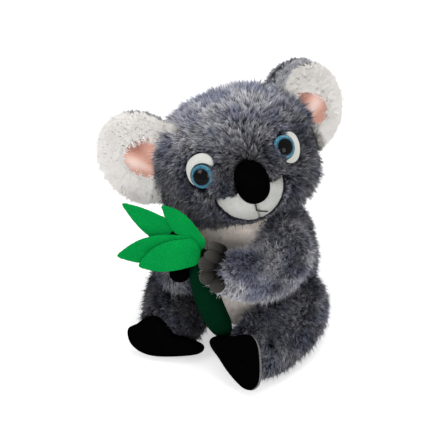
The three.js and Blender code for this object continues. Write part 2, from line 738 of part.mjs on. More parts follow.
function legs() {
  ['left', 'right'].forEach((name) => {
    const joint = legJoints[name];
    const group = bodyGroup(joint);
    const form = (grow) => limbForm(legForms[name], grow);
    const obstacles = [torsoForm(swingGap)];
    const skin = form(0).subtract(floor).subtract(form(-skinThickness).subtract(raisedFloor));
    const stuffing = form(-skinThickness - seamGap).subtract(below(skinThickness + seamGap));
    const foot = soleForm(name, 0).subtract(floor);
    const cutSkin = clearOf(skin, obstacles, joint);
    addPiece(group, `leg_skin_${name}`, cutSkin, cloths.greyFur);
    addPiece(group, `leg_stuffing_${name}`, clearOf(stuffing, obstacles, joint), cloths.fibre);
    addPiece(group, `foot_${name}`, clearOf(foot, [form(seamGap)]), cloths.blackVelvet);
  });
}

// Branch: a felt stem, open at the top, over its stuffing, with leaves stacked on that end.
const pawShares = { left: leftPawShares, right: rightPawShares };
function pawPlace(name) {
  const [x, y, z] = pawShares[name];
  return new Vector3(x * pawWidth, y * pawDepth, z * pawHeight).add(armForms[name].path.at(-1));
}
const gripPoint = pawPlace('left').add(new Vector3(-pawWidth / 2, pawDepth / 2, 0));
const stemPath = placed(stemPathShares, stemLength).map((point) => point.add(gripPoint));
const stemForm = (grow) => solid(tube({
  path: stemPath,
  wide: scaled(stemShares, stemDiameter),
  ends: stemEndShares,
  up: new Vector3(0, -1, 0),
  rows: 10,
  columns: 12,
  grow,
}), sitting);
const branchJoint = {
  pivot: gripPoint.clone().applyMatrix4(sitting),
  axis: stemPath[0].clone().sub(stemPath[2]).normalize().transformDirection(sitting),
  range: branchRange,
};

function leafForm(index, grow = 0) {
  const front = (stemShares[0] * stemDiameter) / 2 + seamGap + feltThickness / 2;
  const root = stemPath[0].clone().add(new Vector3(2 * leafStep, -leafStep * index - front, leafStep));
  const tip = new Vector3(...leafTipShares[index]).multiplyScalar(leafLength).add(root);
  const arch = new Vector3(0, -leafStep, leafStep);
  const path = [root, root.clone().lerp(tip, 0.5).add(arch), tip];
  return solid(tube({
    path,
    wide: scaled(leafWidthShares, leafWidth),
    deep: scaled(leafWidthShares.map(() => 1), feltThickness),
    ends: leafEndShares,
    up: new Vector3(0, -1, 0),
    rows: 9,
    columns: 8,
    grow,
  }), sitting);
}

// Arms: a stuffed sleeve of skin with a velour paw, whose fingers close on the branch.
function pawForm(name) {
  const side = name === 'left' ? 1 : -1;
  const middle = pawPlace(name);
  const palmPlace = new Matrix4().makeTranslation(middle);
  const palm = solid(egg(half(pawWidth, pawDepth, pawHeight), 7, 10), palmPlace);
  const fingers = fingerHeightShares.map((share) => {
    const bend = Math.sqrt(1 - (2 * share) ** 2);
    const at = ([x, y, z], reach) => {
      return new Vector3(side * pawWidth * x * reach, pawDepth * y, share * z * pawHeight).add(middle);
    };
    const knuckle = at(knuckleShares, 1);
    const tip = at(fingertipShares, bend);
    const arch = new Vector3(0, -fingerArchShare * pawDepth, 0);
    return solid(tube({
      path: [knuckle, knuckle.clone().lerp(tip, 0.5).add(arch), tip],
      wide: scaled([1, 1, 1], fingerDiameter),
      ends: fingerEndShares,
      up: new Vector3(0, 0, 1),
      rows: 5,
      columns: 7,
    }));
  });
  return fingers.reduce((all, finger) => all.add(finger), palm).transform(sitting.elements);
}

function arms() {
  const groups = {};
  ['left', 'right'].forEach((name) => {
    const joint = armJoints[name];
    const group = bodyGroup(joint);
    groups[name] = group;
    const form = (grow) => limbForm(armForms[name], grow);
    const aboveArm = [headRoom(headClearance), muzzleRoom(swingGap)];
    const obstacles = [torsoForm(swingGap), ...aboveArm, legRoom(name, swingGap)];
    if (name === 'right') obstacles.push(swept(stemForm(swingGap), armJoints.left));
    const skin = form(0).subtract(form(-skinThickness));
    const stuffing = form(-skinThickness - seamGap);
    addPiece(group, `arm_skin_${name}`, clearOf(skin, obstacles, joint), cloths.greyFur);
    addPiece(group, `arm_stuffing_${name}`, clearOf(stuffing, obstacles, joint), cloths.fibre);
    const leaves = leafTipShares.map((_, index) => swept(leafForm(index, swingGap), branchJoint));
    const stem = name === 'left' ? stemForm(swingGap) : swept(stemForm(swingGap), armJoints.left);
    const material = name === 'left' ? cloths.taupeVelour : cloths.blackVelvet;
    const paw = clearOf(pawForm(name), [form(seamGap), torsoForm(swingGap), stem]);
    const clearPaw = clearOf(paw, leaves, name === 'right' ? joint : null);
    addPiece(group, `paw_${name}`, largest(clearPaw), material);
  });
  return groups;
}

function branch(armGroup) {
  const group = bodyGroup(branchJoint, armGroup);
  const top = stemPath[0].clone().applyMatrix4(sitting);
  const block = new THREE.BoxGeometry(overrun, overrun, overrun);
  block.translate(0, 0, overrun / 2 - 2 * feltThickness);
  const cap = solid(block, facing(top, branchJoint.axis, new Vector3(0, -1, 0)));
  const obstacles = [limbForm(armForms.left, swingGap), legRoom('left', swingGap)];
  const cover = stemForm(0).subtract(stemForm(-feltThickness)).subtract(cap);
  const stuffing = stemForm(-feltThickness - seamGap).subtract(cap);
  addPiece(group, 'stem_cover', largest(clearOf(cover, obstacles)), cloths.stemFelt);
  addPiece(group, 'stem_stuffing', clearOf(stuffing, obstacles), cloths.fibre);
  leafTipShares.forEach((_, index) => {
    addPiece(group, `leaf_${index + 1}`, leafForm(index), cloths.leafFelt);
  });
}

torso();
addPiece(neckGroup, 'neck_stuffing', neckBall(0), cloths.fibre);
head();
face();
ears();
legs();
branch(arms().left);

export default koala;
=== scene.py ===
# %% [markdown]
# # A plush koala with a felt branch
# The toy is sewn from long grey pile, white pile, velvet and felt, and stuffed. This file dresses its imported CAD
# model: each cloth surface is a formula in two parameters, worked out with numpy, and the pile is made of thousands
# of narrow tapered blades that stand on those surfaces in tufts.

# %% Load the frame
import json

import bpy
import numpy as np
from mathutils import Matrix, Vector


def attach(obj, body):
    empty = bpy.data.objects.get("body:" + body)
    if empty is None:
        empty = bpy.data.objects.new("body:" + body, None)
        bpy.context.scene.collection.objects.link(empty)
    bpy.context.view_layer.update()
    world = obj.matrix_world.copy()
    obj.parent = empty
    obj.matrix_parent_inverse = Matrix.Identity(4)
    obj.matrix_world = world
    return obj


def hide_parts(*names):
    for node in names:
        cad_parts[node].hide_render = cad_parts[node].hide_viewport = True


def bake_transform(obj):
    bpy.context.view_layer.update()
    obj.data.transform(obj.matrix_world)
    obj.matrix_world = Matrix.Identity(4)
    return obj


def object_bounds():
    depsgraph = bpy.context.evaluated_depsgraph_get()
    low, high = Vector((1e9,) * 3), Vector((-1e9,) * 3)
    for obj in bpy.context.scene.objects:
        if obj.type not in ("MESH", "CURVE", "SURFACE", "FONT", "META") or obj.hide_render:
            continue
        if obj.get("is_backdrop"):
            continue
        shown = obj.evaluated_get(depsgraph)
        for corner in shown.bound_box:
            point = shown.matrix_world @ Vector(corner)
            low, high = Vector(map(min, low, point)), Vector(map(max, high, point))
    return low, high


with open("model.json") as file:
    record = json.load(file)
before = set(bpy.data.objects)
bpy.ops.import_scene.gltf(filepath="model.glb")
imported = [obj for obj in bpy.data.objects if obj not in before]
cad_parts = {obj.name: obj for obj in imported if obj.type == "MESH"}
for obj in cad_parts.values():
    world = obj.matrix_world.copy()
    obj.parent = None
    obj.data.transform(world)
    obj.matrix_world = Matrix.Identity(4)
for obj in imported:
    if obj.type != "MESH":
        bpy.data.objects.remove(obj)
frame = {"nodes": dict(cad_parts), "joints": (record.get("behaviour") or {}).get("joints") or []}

cad_low, cad_high = (list(corner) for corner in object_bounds())
print("CAD box in metres:", cad_low, cad_high)

# %% [markdown]
# ## The koala's own frame
# The koala leans back on its seat and turns its head. It is easier to work upright and in millimetres, so every
# formula does that, and the points are leaned back at the end. The lean is read from the neck's two joints, whose
# axes are the koala's own upright and its own sideways, and the scale is read from the height of the CAD model.

# %% From the koala's frame to the room
DESIGN_HEIGHT = 232.81
unit = (cad_high[2] - cad_low[2]) / DESIGN_HEIGHT
joints = {joint["name"]: joint for joint in frame["joints"]}
upright = np.array(joints["head_turn"]["axis"])
sideways = np.array(joints["head_nod"]["axis"])
leaned = np.stack([sideways, np.cross(upright, sideways), upright], axis=1)


def seated(points):
    """Koala's own millimetres to metres in the room: the lean times the point, times the scale."""
    return points @ leaned.T * unit


def unit_vectors(vectors):
    """Each vector divided by its own length."""
    return vectors / np.maximum(np.linalg.norm(vectors, axis=-1, keepdims=True), 1e-9)


def share_of(value, span):
    """How much of a span a value fills, from 0 to 1."""
    return np.clip(value / span, 0, 1)


print("one design millimetre is", unit, "m")

# %% [markdown]
# ## Smooth paths and closed surfaces
# A stuffed limb is a tube whose section swells and shrinks along a bent path, and a head or a paw is an egg. Both
# are written as a point for a row (0 to 1, from one closed end to the other) and a turn (the angle round). A grid of
# such points makes a mesh with a single point at each end, so there is no hole and no seam.


# %% Curves and tubes
def cubic(a, b, c, d, part):
    """The smooth curve from b to c that leaves along c - a and arrives along d - b."""
    return 0.5 * (2 * b + (c - a) * part + (2 * a - 5 * b + 4 * c - d) * part**2 + (3 * b - 3 * c + d - a) * part**3)


def catmull(points, share):
    """The smooth curve that passes through all the points, read at a share from 0 to 1 of its spans."""
    points = np.asarray(points, float)
    flat = points.ndim == 1
    points = points[:, None] if flat else points
    place = np.clip(share, 0, 1) * (len(points) - 1)
    span = np.minimum(place.astype(int), len(points) - 2)
    padded = np.vstack([2 * points[0] - points[1], points, 2 * points[-1] - points[-2]])
    curve = cubic(*(padded[span + step] for step in range(4)), (place - span)[..., None])
    return curve[..., 0] if flat else curve


def closed_curve(points, share):
    """A smooth curve through the points and back to the first, read at a share from 0 to 1."""
    points = np.array(points)
    place = (share % 1) * len(points)
    span = place.astype(int) % len(points)
    part = (place - place.astype(int))[..., None]
    return cubic(*(points[(span + step) % len(points)] for step in (-1, 0, 1, 2)), part)


def end_rounding(share, first, last):
    """Both ends close as a quarter of an ellipse does, over the first and last shares of the length."""
    start, finish = np.minimum(share / first, 1), np.minimum((1 - share) / last, 1)
    return np.sqrt(1 - (1 - start) ** 2) * np.sqrt(1 - (1 - finish) ** 2)


def tube(path, wide, deep, ends, up):
    """Path point + across * cos(turn) * half width + over * sin(turn) * half depth, with both ends rounded."""

    def at(row, turn, grow=0.0):
        share = (1 - np.cos(np.pi * np.clip(row, 0, 1))) / 2
        tangent = unit_vectors(catmull(path, share + 1e-3) - catmull(path, share - 1e-3))
        across = unit_vectors(np.cross(tangent, up))
        over = np.cross(across, tangent)
        close = end_rounding(share, *ends)
        section = across * (np.cos(turn) * close * (catmull(wide, share) + grow))[..., None]
        section += over * (np.sin(turn) * close * (catmull(deep, share) + grow))[..., None]
        return catmull(path, share) + tangent * (grow * (2 * share - 1))[..., None] + section

    return at


def direction_at(row, turn):
    """The direction at an angle down from the top and an angle round."""
    down = np.pi * row
    return np.stack([np.sin(down) * np.cos(turn), np.sin(down) * np.sin(turn), np.cos(down) + 0 * turn], axis=-1)


def egg_radius(direction, halves, power=2.0):
    """The distance to a superellipsoid's surface: (|x/a|^p + |y/b|^p + |z/c|^p)^(-1/p)."""
    return (np.abs(direction / np.asarray(halves)) ** power).sum(-1) ** (-1 / power)


# %% [markdown]
# Blender takes a mesh fastest as flat arrays. Each grid becomes one ring of points for each row, with a single point
# at either end, and the faces are turned outward by the sign of the volume that they enclose. The UV map named
# OFBake carries two numbers for the cloth: across it, how light this spot is, and up it, how far it is from the root.


# %% Grids into meshes
def grid_faces(rows, columns):
    """Quads between neighbouring rings and triangles at the two end points, with each corner's row and column."""
    row, column = (side.ravel() for side in np.meshgrid(np.arange(1, rows - 1), np.arange(columns), indexing="ij"))
    first, round_ = np.zeros(columns), np.arange(columns)
    corners = [[(row, column), (row, column + 1), (row + 1, column + 1), (row + 1, column)],
               [(first, round_ + 0.5), (first + 1, round_ + 1), (first + 1, round_)],
               [(first + rows, round_ + 0.5), (first + rows - 1, round_), (first + rows - 1, round_ + 1)]]
    places = [np.stack([np.stack(corner, axis=-1) for corner in part], axis=1) for part in corners]
    numbers = [1 + (place[..., 0] - 1) * columns + place[..., 1] % columns for place in places]
    last = 1 + (rows - 1) * columns
    return [np.clip(part, 0, last).astype(int) for part in numbers], [place / [rows, columns] for place in places]


def in_scene(name, data):
    """A new object in the scene that holds a mesh, a lamp or a camera."""
    thing = bpy.data.objects.new(name, data)
    bpy.context.scene.collection.objects.link(thing)
    return thing


def write_mesh(name, points, faces, uvs, normals=None):
    """Points in metres, lists of equal-sided face arrays, and a UV for each face corner in the same order."""
    mesh = bpy.data.meshes.new(name)
    loops = np.concatenate([part.ravel() for part in faces]).astype(np.int32)
    sides = np.concatenate([np.full(len(part), part.shape[1]) for part in faces]).astype(np.int32)
    mesh.vertices.add(len(points))
    mesh.vertices.foreach_set("co", np.ascontiguousarray(points, np.float32).ravel())
    mesh.loops.add(len(loops))
    mesh.loops.foreach_set("vertex_index", loops)
    mesh.polygons.add(len(sides))
    mesh.polygons.foreach_set("loop_start", np.concatenate([[0], np.cumsum(sides)[:-1]]).astype(np.int32))
    mesh.polygons.foreach_set("loop_total", sides)
    layer = mesh.uv_layers.new(name="OFBake")
    layer.data.foreach_set("uv", np.concatenate([part.reshape(-1, 2) for part in uvs]).astype(np.float32).ravel())
    mesh.polygons.foreach_set("use_smooth", np.full(len(sides), True))
    mesh.update(calc_edges=True)
    mesh.validate()
    if normals is not None:
        mesh.normals_split_custom_set_from_vertices(normals.tolist())
    return in_scene(name, mesh)


def volume_of(points, faces):
    """The volume inside, as a sum of the tetrahedra between the origin and each fan of face corners."""
    fans = [part[:, [0, corner, corner + 1]] for part in faces for corner in range(1, part.shape[1] - 1)]
    first, second, third = points[np.concatenate(fans)].swapaxes(0, 1)
    return (first * np.cross(second, third)).sum() / 6


def chart(lightness, root):
    """The map's two numbers side by side."""
    return np.stack(np.broadcast_arrays(lightness, root), axis=-1)


def even_chart(lightness, root):
    """The same two numbers all over a piece."""
    return lambda places: chart(0 * places[..., 0] + lightness, root)


FLOOR_GAP = 0.0004


def closed_piece(name, surfaces, rows, columns, charted=None):
    """One mesh of one or more closed surfaces, each a function of row and turn in the koala's millimetres."""
    all_points, all_faces, all_uvs, offset = [], [], [], 0
    row, turn = np.meshgrid(np.arange(rows + 1) / rows, 2 * np.pi * np.arange(columns) / columns, indexing="ij")
    faces, places = grid_faces(rows, columns)
    uvs = [place[..., ::-1] if charted is None else charted(place) for place in places]
    for at in surfaces:
        grid = at(row, turn)
        points = seated(np.vstack([grid[0, :1], grid[1:-1].reshape(-1, 3), grid[-1, :1]]))
        points[:, 2] = np.maximum(points[:, 2], FLOOR_GAP)
        order = -1 if volume_of(points, faces) < 0 else 1
        all_points.append(points)
        all_faces += [part[:, ::order] + offset for part in faces]
        all_uvs += [part[:, ::order] for part in uvs]
        offset += len(points)
    return write_mesh(name, np.vstack(all_points), all_faces, all_uvs)


# %% [markdown]
# ## Cloths
# A material here is a shader with a few pattern nodes. Patterns read object coordinates in metres, so a noise scale
# of 60 gives patches about 17 mm wide. Colours are given as they look in a picture, from 0 to 255, and turned into
# the linear numbers that Blender's shaders expect.


# %% Material helpers
def colour(red, green, blue):
    """Picture values to linear light: ((v + 0.055) / 1.055) ^ 2.4 above the dark toe."""
    value = np.array([red, green, blue]) / 255
    linear = np.where(value <= 0.04045, value / 12.92, ((value + 0.055) / 1.055) ** 2.4)
    return (*linear.tolist(), 1.0)


def grey(value):
    """A neutral colour of a linear lightness."""
    return (float(value),) * 3 + (1.0,)


def feed(tree, sockets, values):
    """Sets each named or numbered socket to its number or colour, or links it to another node's output."""
    for socket, value in values.items():
        if isinstance(value, (float, tuple)):
            sockets[socket].default_value = value
        else:
            tree.links.new(value, sockets[socket])


def new_node(tree, kind, values, **settings):
    """A node with its settings, its inputs fed, and its outputs to read."""
    node = tree.nodes.new(f"ShaderNode{kind}")
    for key, setting in settings.items():
        setattr(node, key, setting)
    feed(tree, node.inputs, values)
    return node


def new_finish(name, roughness, sheen=0.0, specular=0.3):
    """A material with its principled shader, its same-all-over numbers set on the shader's own sockets."""
    material = bpy.data.materials.new(name)
    material.use_nodes = True
    shader = material.node_tree.nodes["Principled BSDF"].inputs
    feed(material.node_tree, shader, {"Roughness": roughness, "Sheen Weight": sheen, "Sheen Roughness": 0.4,
                                      "Specular IOR Level": specular})
    return material, material.node_tree, shader


def noise(tree, scale, detail=2.0, roughness=0.5):
    """A noise texture on object coordinates."""
    place = new_node(tree, "TexCoord", {}).outputs["Object"]
    values = {"Vector": place, "Scale": scale, "Detail": detail, "Roughness": roughness}
    return new_node(tree, "TexNoise", values).outputs[0]


def ramp(tree, factor, *stops):
    """Blends through colours, each with the value at which it is reached."""
    node = new_node(tree, "ValToRGB", {"Fac": factor})
    while len(node.color_ramp.elements) < len(stops):
        node.color_ramp.elements.new(0.5)
    for element, (place, shade) in zip(node.color_ramp.elements, stops):
        element.position = place
        element.color = shade
    return node.outputs["Color"]


def fade(tree, factor, start, end, most=1.0):
    """Rises from 0 at the start to the most at the end."""
    return ramp(tree, factor, (start, grey(0)), (end, grey(most)))


def mixed(tree, factor, first, second, blend="MIX"):
    """Two colours blended by a factor, which may be a number or another node's output."""
    return new_node(tree, "Mix", {0: factor, 6: first, 7: second}, data_type="RGBA", blend_type=blend).outputs[2]


def bumped(tree, shader, height, strength, distance):
    """Tilts the surface's normal by a pattern's height, in metres."""
    node = new_node(tree, "Bump", {"Strength": strength, "Distance": distance, "Height": height})
    feed(tree, shader, {"Normal": node.outputs["Normal"]})


def map_numbers(tree):
    """The two numbers of the OFBake map: across it the lightness of the spot, up it the distance from the root."""
    where = new_node(tree, "UVMap", {}, uv_map="OFBake").outputs["UV"]
    split = new_node(tree, "SeparateXYZ", {"Vector": where}).outputs
    return split["X"], split["Y"]


# %% [markdown]
# The grey pile is a mix of blue-grey and purple-grey fibres with silver tips. A plain grey would look like felt, so
# the colour is built in three steps: from dark at the root to light at the tip, then a patchy noise between the two
# greys, and last the tuft's own lightness, which the blades carry in their map.


# %% Grey and white pile
def pile_finish(name, root, middle, tip, other, contrast, roughness=0.55):
    """Root to tip through three colours, with darker patches of the other colour and each tuft lighter or darker."""
    material, tree, shader = new_finish(name, roughness, specular=0.1)
    lightness, share = map_numbers(tree)
    along = ramp(tree, share, (0.0, colour(*root)), (0.5, colour(*middle)), (1.0, colour(*tip)))
    patches = ramp(tree, noise(tree, 38.0, roughness=0.55), (0.38, (*other, 1.0)), (0.6, grey(1)))
    tufts = ramp(tree, lightness, (0.0, grey(1 - contrast)), (0.5, grey(1)), (1.0, grey(1 + 1.5 * contrast)))
    tinted = mixed(tree, 1.0, along, patches, "MULTIPLY")
    feed(tree, shader, {"Base Color": mixed(tree, 1.0, tinted, tufts, "MULTIPLY")})
    return material


# The grey pile's near-black root is partly the fibres' own dark root and partly painted shade deep in the pile.
grey_pile = pile_finish("grey pile", (13, 14, 19), (54, 55, 66), (198, 197, 201), (0.46, 0.49, 0.6), 0.72)
white_pile = pile_finish("white pile", (236, 232, 227), (246, 243, 239), (253, 251, 248), (0.95, 0.94, 0.93), 0.08, 0.8)
panel_pile = pile_finish("chest pile", (230, 220, 211), (246, 238, 230), (250, 244, 238), (0.92, 0.89, 0.87), 0.16, 0.8)
# The ears get a lighter copy of the grey pile. This is painted light, which lifts the ears' backs and curls where the
# lamps leave them dark.
lightened_ear_pile = pile_finish("lightened ear grey pile", (46, 47, 52), (112, 113, 122), (206, 206, 208), (0.7, 0.72, 0.78), 0.5)
print("pile finishes:", grey_pile.name, white_pile.name, panel_pile.name, lightened_ear_pile.name)

# %% [markdown]
# Velvet and velour are short dense pile. Seen face on they are dark, and at a glancing angle the fibre tips catch
# light, which the sheen part of the shader gives the velour; the black velvet here has no sheen. A fine noise in the
# bump keeps the surface from looking like painted plastic.


# %% Velvet, velour, felt, satin and thread
def short_cloth(name, base, fleck, sheen, grain, depth, roughness=0.85, specular=0.1, under=None, edge=(0.45, 0.55)):
    """Two close shades mixed by a fine noise, which also raises the surface by a fraction of a millimetre. Where the
    map's second number is low, a darker colour is mixed in. On the muzzle it is the grey cloth under longer pile, and
    on the left paw it is painted shade in the hollow between the fingers."""
    material, tree, shader = new_finish(name, roughness, sheen, specular)
    fine, flecks = noise(tree, grain, 4.0, 0.7), colour(*fleck)
    cloth = mixed(tree, fade(tree, fine, 0.35, 0.68), colour(*base), flecks)
    cloth = mixed(tree, fade(tree, noise(tree, 90.0), 0.35, 0.7, 0.6), cloth, flecks)
    if under is not None:
        cloth = mixed(tree, fade(tree, map_numbers(tree)[1], *edge), colour(*under), cloth)
    feed(tree, shader, {"Base Color": cloth})
    bumped(tree, shader, fine, 0.6, depth)
    return material


black_velvet = short_cloth("black velvet", (1, 1, 1), (5, 5, 6), 0.0, 1500.0, 0.0004, specular=0.0)
# The velour's darker colour, from the knuckles towards the fingertips, is painted shade in the paw's hollow.
taupe_velour = short_cloth("grey-brown velour", (54, 53, 50), (98, 96, 91), 0.04, 1200.0, 0.0004, specular=0.05,
                           under=(10, 9, 8), edge=(0.3, 0.95))
white_felt = short_cloth("white felt", (186, 186, 180), (212, 212, 206), 0.05, 1100.0, 0.0003)
muzzle_plush = short_cloth("white plush", (164, 165, 160), (196, 196, 191), 0.05, 1000.0, 0.0005, under=(34, 35, 42))
# This grey is a painted highlight, which stands for the light along the left foot's velvet seam.
seam_highlight_grey = short_cloth("painted seam highlight grey", (78, 78, 78), (128, 128, 126), 0.05, 900.0, 0.0005)
stem_felt = short_cloth("dark green felt", (0, 26, 13), (1, 38, 20), 0.0, 1100.0, 0.0003, specular=0.02)
stitch_thread = short_cloth("dark thread", (34, 30, 29), (70, 62, 60), 0.1, 2500.0, 0.0002)
washer_plastic = short_cloth("washer plastic", (226, 224, 216), (238, 236, 228), 0.0, 600.0, 0.0001, roughness=0.45)


def satin_finish():
    """Pink cloth with a soft gloss and fine weave ribs. The map's first number paints its shade: dark where the number
    is low, light where it is high.
    """
    material, tree, shader = new_finish("pink satin", 0.5, 0.1, 0.2)
    weave = noise(tree, 1600.0)
    stops = (0.0, colour(158, 92, 70)), (0.5, colour(212, 152, 132)), (1.0, colour(238, 206, 194))
    rose = mixed(tree, 0.12, ramp(tree, map_numbers(tree)[0], *stops), fade(tree, weave, 0.3, 0.7))
    feed(tree, shader, {"Base Color": rose})
    bumped(tree, shader, weave, 0.4, 0.0002)
    return material


pink_satin = satin_finish()
print("short cloths:", [cloth.name for cloth in (black_velvet, taupe_velour, white_felt, muzzle_plush, pink_satin)])

# %% [markdown]
# ## Pile
# Long pile could be made with Blender's hair, but hair has no mesh of its own and isn't exported. Here each fibre
# bundle is a blade: four points, widest at its middle. Blades stand in tufts of a dozen, because real pile clumps,
# and each tuft leans along the nap, which is the way the cloth was brushed.


# %% Places on a surface
def scatter(at, count, rng, rows=80, columns=120):
    """Random places spread evenly over a surface: grid cells are drawn by their area, then a point inside each."""
    row, turn = np.meshgrid(np.linspace(0, 1, rows + 1), 2 * np.pi * np.linspace(0, 1, columns + 1), indexing="ij")
    grid = at(row, turn)
    down, across = np.diff(grid, axis=0)[:, :-1], np.diff(grid, axis=1)[:-1]
    area = np.linalg.norm(np.cross(down, across), axis=-1).ravel()
    cell = rng.choice(area.size, size=count, p=area / area.sum())
    row = (cell // columns + rng.random(count)) / rows
    return row, 2 * np.pi * (cell % columns + rng.random(count)) / columns


def frame_on(at, row, turn, grow):
    """Points with their outward normals and the direction in which the rows run."""
    step = 1e-3
    points = at(row, turn, grow)
    down = at(np.minimum(row + step, 1), turn, grow) - at(np.maximum(row - step, 0), turn, grow)
    across = at(row, turn + step, grow) - at(row, turn - step, grow)
    normals = unit_vectors(np.cross(down, across))
    outward = ((at(row, turn, grow + 1.0) - points) * normals).sum(-1).sum()
    return points, normals if outward > 0 else -normals, unit_vectors(down)


def swirls(points):
    """A slow wave over the surface, from about -1 to 1: the sum of sines of the place in five directions."""
    waves = np.random.default_rng(5).normal(0, 1 / 11, (5, 3))
    return np.sin(points @ waves.T + np.arange(5) * 1.7).sum(axis=1) / 2.2


def swung(first, second, angle):
    """From the first direction towards the second by an angle."""
    return first * np.cos(angle)[..., None] + second * np.sin(angle)[..., None]


def tufts_on(at, count, depth, rng):
    """Evenly drawn places on the cloth, which lies a depth under a surface, with their normals and directions."""
    return frame_on(at, *scatter(at, count, rng), -depth)


# %% Blades in tufts
PER_TUFT, ROOT_SUNK, SWIRL, BLADE_GAP, TONES = 12, 0.5, 34.0, 0.0003, (0.01, 0.99)
TUFT_SIZES, BLADE_SIZES, BLADE_WIDTHS = (0.78, 0.44), (0.8, 0.4), (0.75, 0.5)  # the least, and how much more
YAW, TUFT_TILT, BLADE_TILT, TILTS, ROLL = 8, 12, 7, (4, 84), 0.55  # in degrees, and the roll in radians
STRAY_TILT, STRAY_LONGER = 22, 1.25


def blades(name, keep, points, normals, nap, rng, length, width=0.75, lean=(20.0, 60.0), spread=2.4, clump=0.8,
           tone=0.5, tone_spread=0.19, untidy=24.0, stray=0.07, soft=False):
    """Tip = root + length * (normal * cos(lean) + nap * sin(lean)), the lean growing from root to tip; a blade's
    offset from its tuft shrinks towards the tip by the clump share, and its width narrows to nothing. Soft pile is
    lit as its cloth is, with the cloth's own normals. Only the places that are kept get a tuft."""
    length, tone = (np.broadcast_to(value, len(points))[keep][:, None] for value in (length, tone))
    points, normals, nap = points[keep], normals[keep], nap[keep]
    each, shape = (len(points), 1), (len(points), PER_TUFT)
    uneven = lambda sizes, shape: sizes[0] + sizes[1] * rng.random(shape)
    along = unit_vectors(nap - normals * (nap * normals).sum(-1, keepdims=True))
    across = np.cross(normals, along)
    yaw = np.radians(rng.normal(0, untidy, len(points)) + SWIRL * swirls(points))[:, None]
    comb = swung(along[:, None], across[:, None], yaw + np.radians(rng.normal(0, YAW, shape)))
    normal = np.broadcast_to(normals[:, None], comb.shape)
    reach, round_ = spread * np.sqrt(rng.random(shape)), 2 * np.pi * rng.random(shape)
    ahead, aside = (reach * np.cos(round_))[..., None], (reach * np.sin(round_))[..., None]
    offset = along[:, None] * ahead + across[:, None] * aside
    size = length * uneven(TUFT_SIZES, each)
    loose = rng.random(shape) < stray
    half = (size * uneven(BLADE_SIZES, shape) * np.where(loose, STRAY_LONGER, 1))[..., None] / 2
    tilt = rng.normal(0, TUFT_TILT, each) + rng.normal(0, BLADE_TILT, shape) - np.where(loose, STRAY_TILT, 0)
    lower, upper = (swung(normal, comb, np.radians(np.clip(angle + tilt, *TILTS))) for angle in lean)
    base = points[:, None] + offset - normal * ROOT_SUNK
    middle = base + lower * half - offset * (clump * 0.4)
    tip = middle + upper * half - offset * (clump * 0.6)
    side = unit_vectors(np.cross(upper, normal))
    side = unit_vectors(swung(side, unit_vectors(np.cross(side, upper)), rng.normal(0, ROLL, shape)))
    wide = width * uneven(BLADE_WIDTHS, shape)[..., None] / 2
    corners = np.stack([base, middle + side * wide, middle - side * wide, tip], axis=2)
    inward = (np.cross(side, tip - middle) * normals[:, None]).sum(axis=-1) < 0
    corners[inward] = corners[inward][:, [0, 2, 1, 3]]
    places = seated(corners.reshape(-1, 3))
    places[:, 2] = np.maximum(places[:, 2], BLADE_GAP)
    start = 4 * np.arange(len(points) * PER_TUFT)[:, None]
    tones = tone + rng.normal(0, tone_spread, each) + rng.normal(0, tone_spread, shape)
    tones = np.clip(tones, *TONES).reshape(-1, 1)
    uvs = [chart(tones, np.array(heights)) for heights in ([0.0, 0.5, 0.5], [0.5, 0.5, 1.0])]
    lit_as = np.repeat(normals @ leaned.T, 4 * PER_TUFT, axis=0) if soft else None
    print(name, len(start), "blades,", 2 * len(start), "triangles")
    return write_mesh(name, places, [start + [0, 1, 2], start + [2, 1, 3]], uvs, lit_as)


# %% [markdown]
# Every piece gets a finish and the body that it moves with, and the CAD nodes that it stands for are hidden.


# %% Dressing a piece
def dress(piece, body, slot, finish, *stands_for):
    """Gives a piece its finish and its body, and hides the CAD nodes that it stands for. The slot is not used."""
    piece.data.materials.append(finish)
    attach(piece, body)
    if stands_for:
        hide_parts(*stands_for)
    return piece


def cloth_piece(name, surfaces, body, stands_for, slot, finish, rows=48, columns=64, charted=None):
    """A closed padded piece in its cloth, riding its body in place of its CAD nodes."""
    piece = dress(closed_piece(name, surfaces, rows, columns, charted), body, slot, finish, *stands_for)


def declare_sheet(piece, flat, area):
    """Says how large the flat cloth was cut, in metres and square metres."""
    print(piece.name, "flat", flat, "m, area", area, "m2")


def cut_area(piece):
    """Half of a thin closed piece's surface, in square metres, because both faces of the cloth are in it."""
    return sum(face.area for face in piece.data.polygons) / 2


# %% [markdown]
# ## Torso
# The torso is a bag with a flat seat, filled with fibre over a bag of pellets. Its cloth is one tube from the seat
# to the neck. The cloth lies a little inside the CAD surface, so that the pile that stands on it fills the CAD
# form, and the torso's own fibre and pellet bag stay inside it unseen.

# %% Torso cloth
TORSO_HEIGHT, TORSO_WIDTH, TORSO_DEPTH, SEAT_DEPTH, SEAM_GAP = 144.0, 146.0, 130.0, 9.0, 0.3
torso_path = [[0, -SEAM_GAP, share * TORSO_HEIGHT - SEAT_DEPTH] for share in (0, 1 / 3, 2 / 3, 1)]
torso_wide = np.array([0.62, 0.9, 1, 0.97, 0.83, 0.6]) * TORSO_WIDTH / 2
torso_deep = np.array([0.62, 0.9, 1, 0.96, 0.84, 0.64]) * TORSO_DEPTH / 2
TORSO_ENDS = (0.34, 0.3)
torso_at = tube(torso_path, torso_wide, torso_deep, TORSO_ENDS, [0, -1, 0])
PILE_DEPTHS = {"torso": 7.5, "head": 5.0, "ear": 3.0, "arm_left": 6.5, "arm_right": 8.0, "leg_left": 5.5,
               "leg_right": 6.0}
# The cloth under the grey pile takes the pile's darkest root colour. This is painted shade, so that the gaps between
# the tufts read as deep.
shaded_under_grey, under_white = even_chart(0.35, 0.1), even_chart(0.4, 0.4)


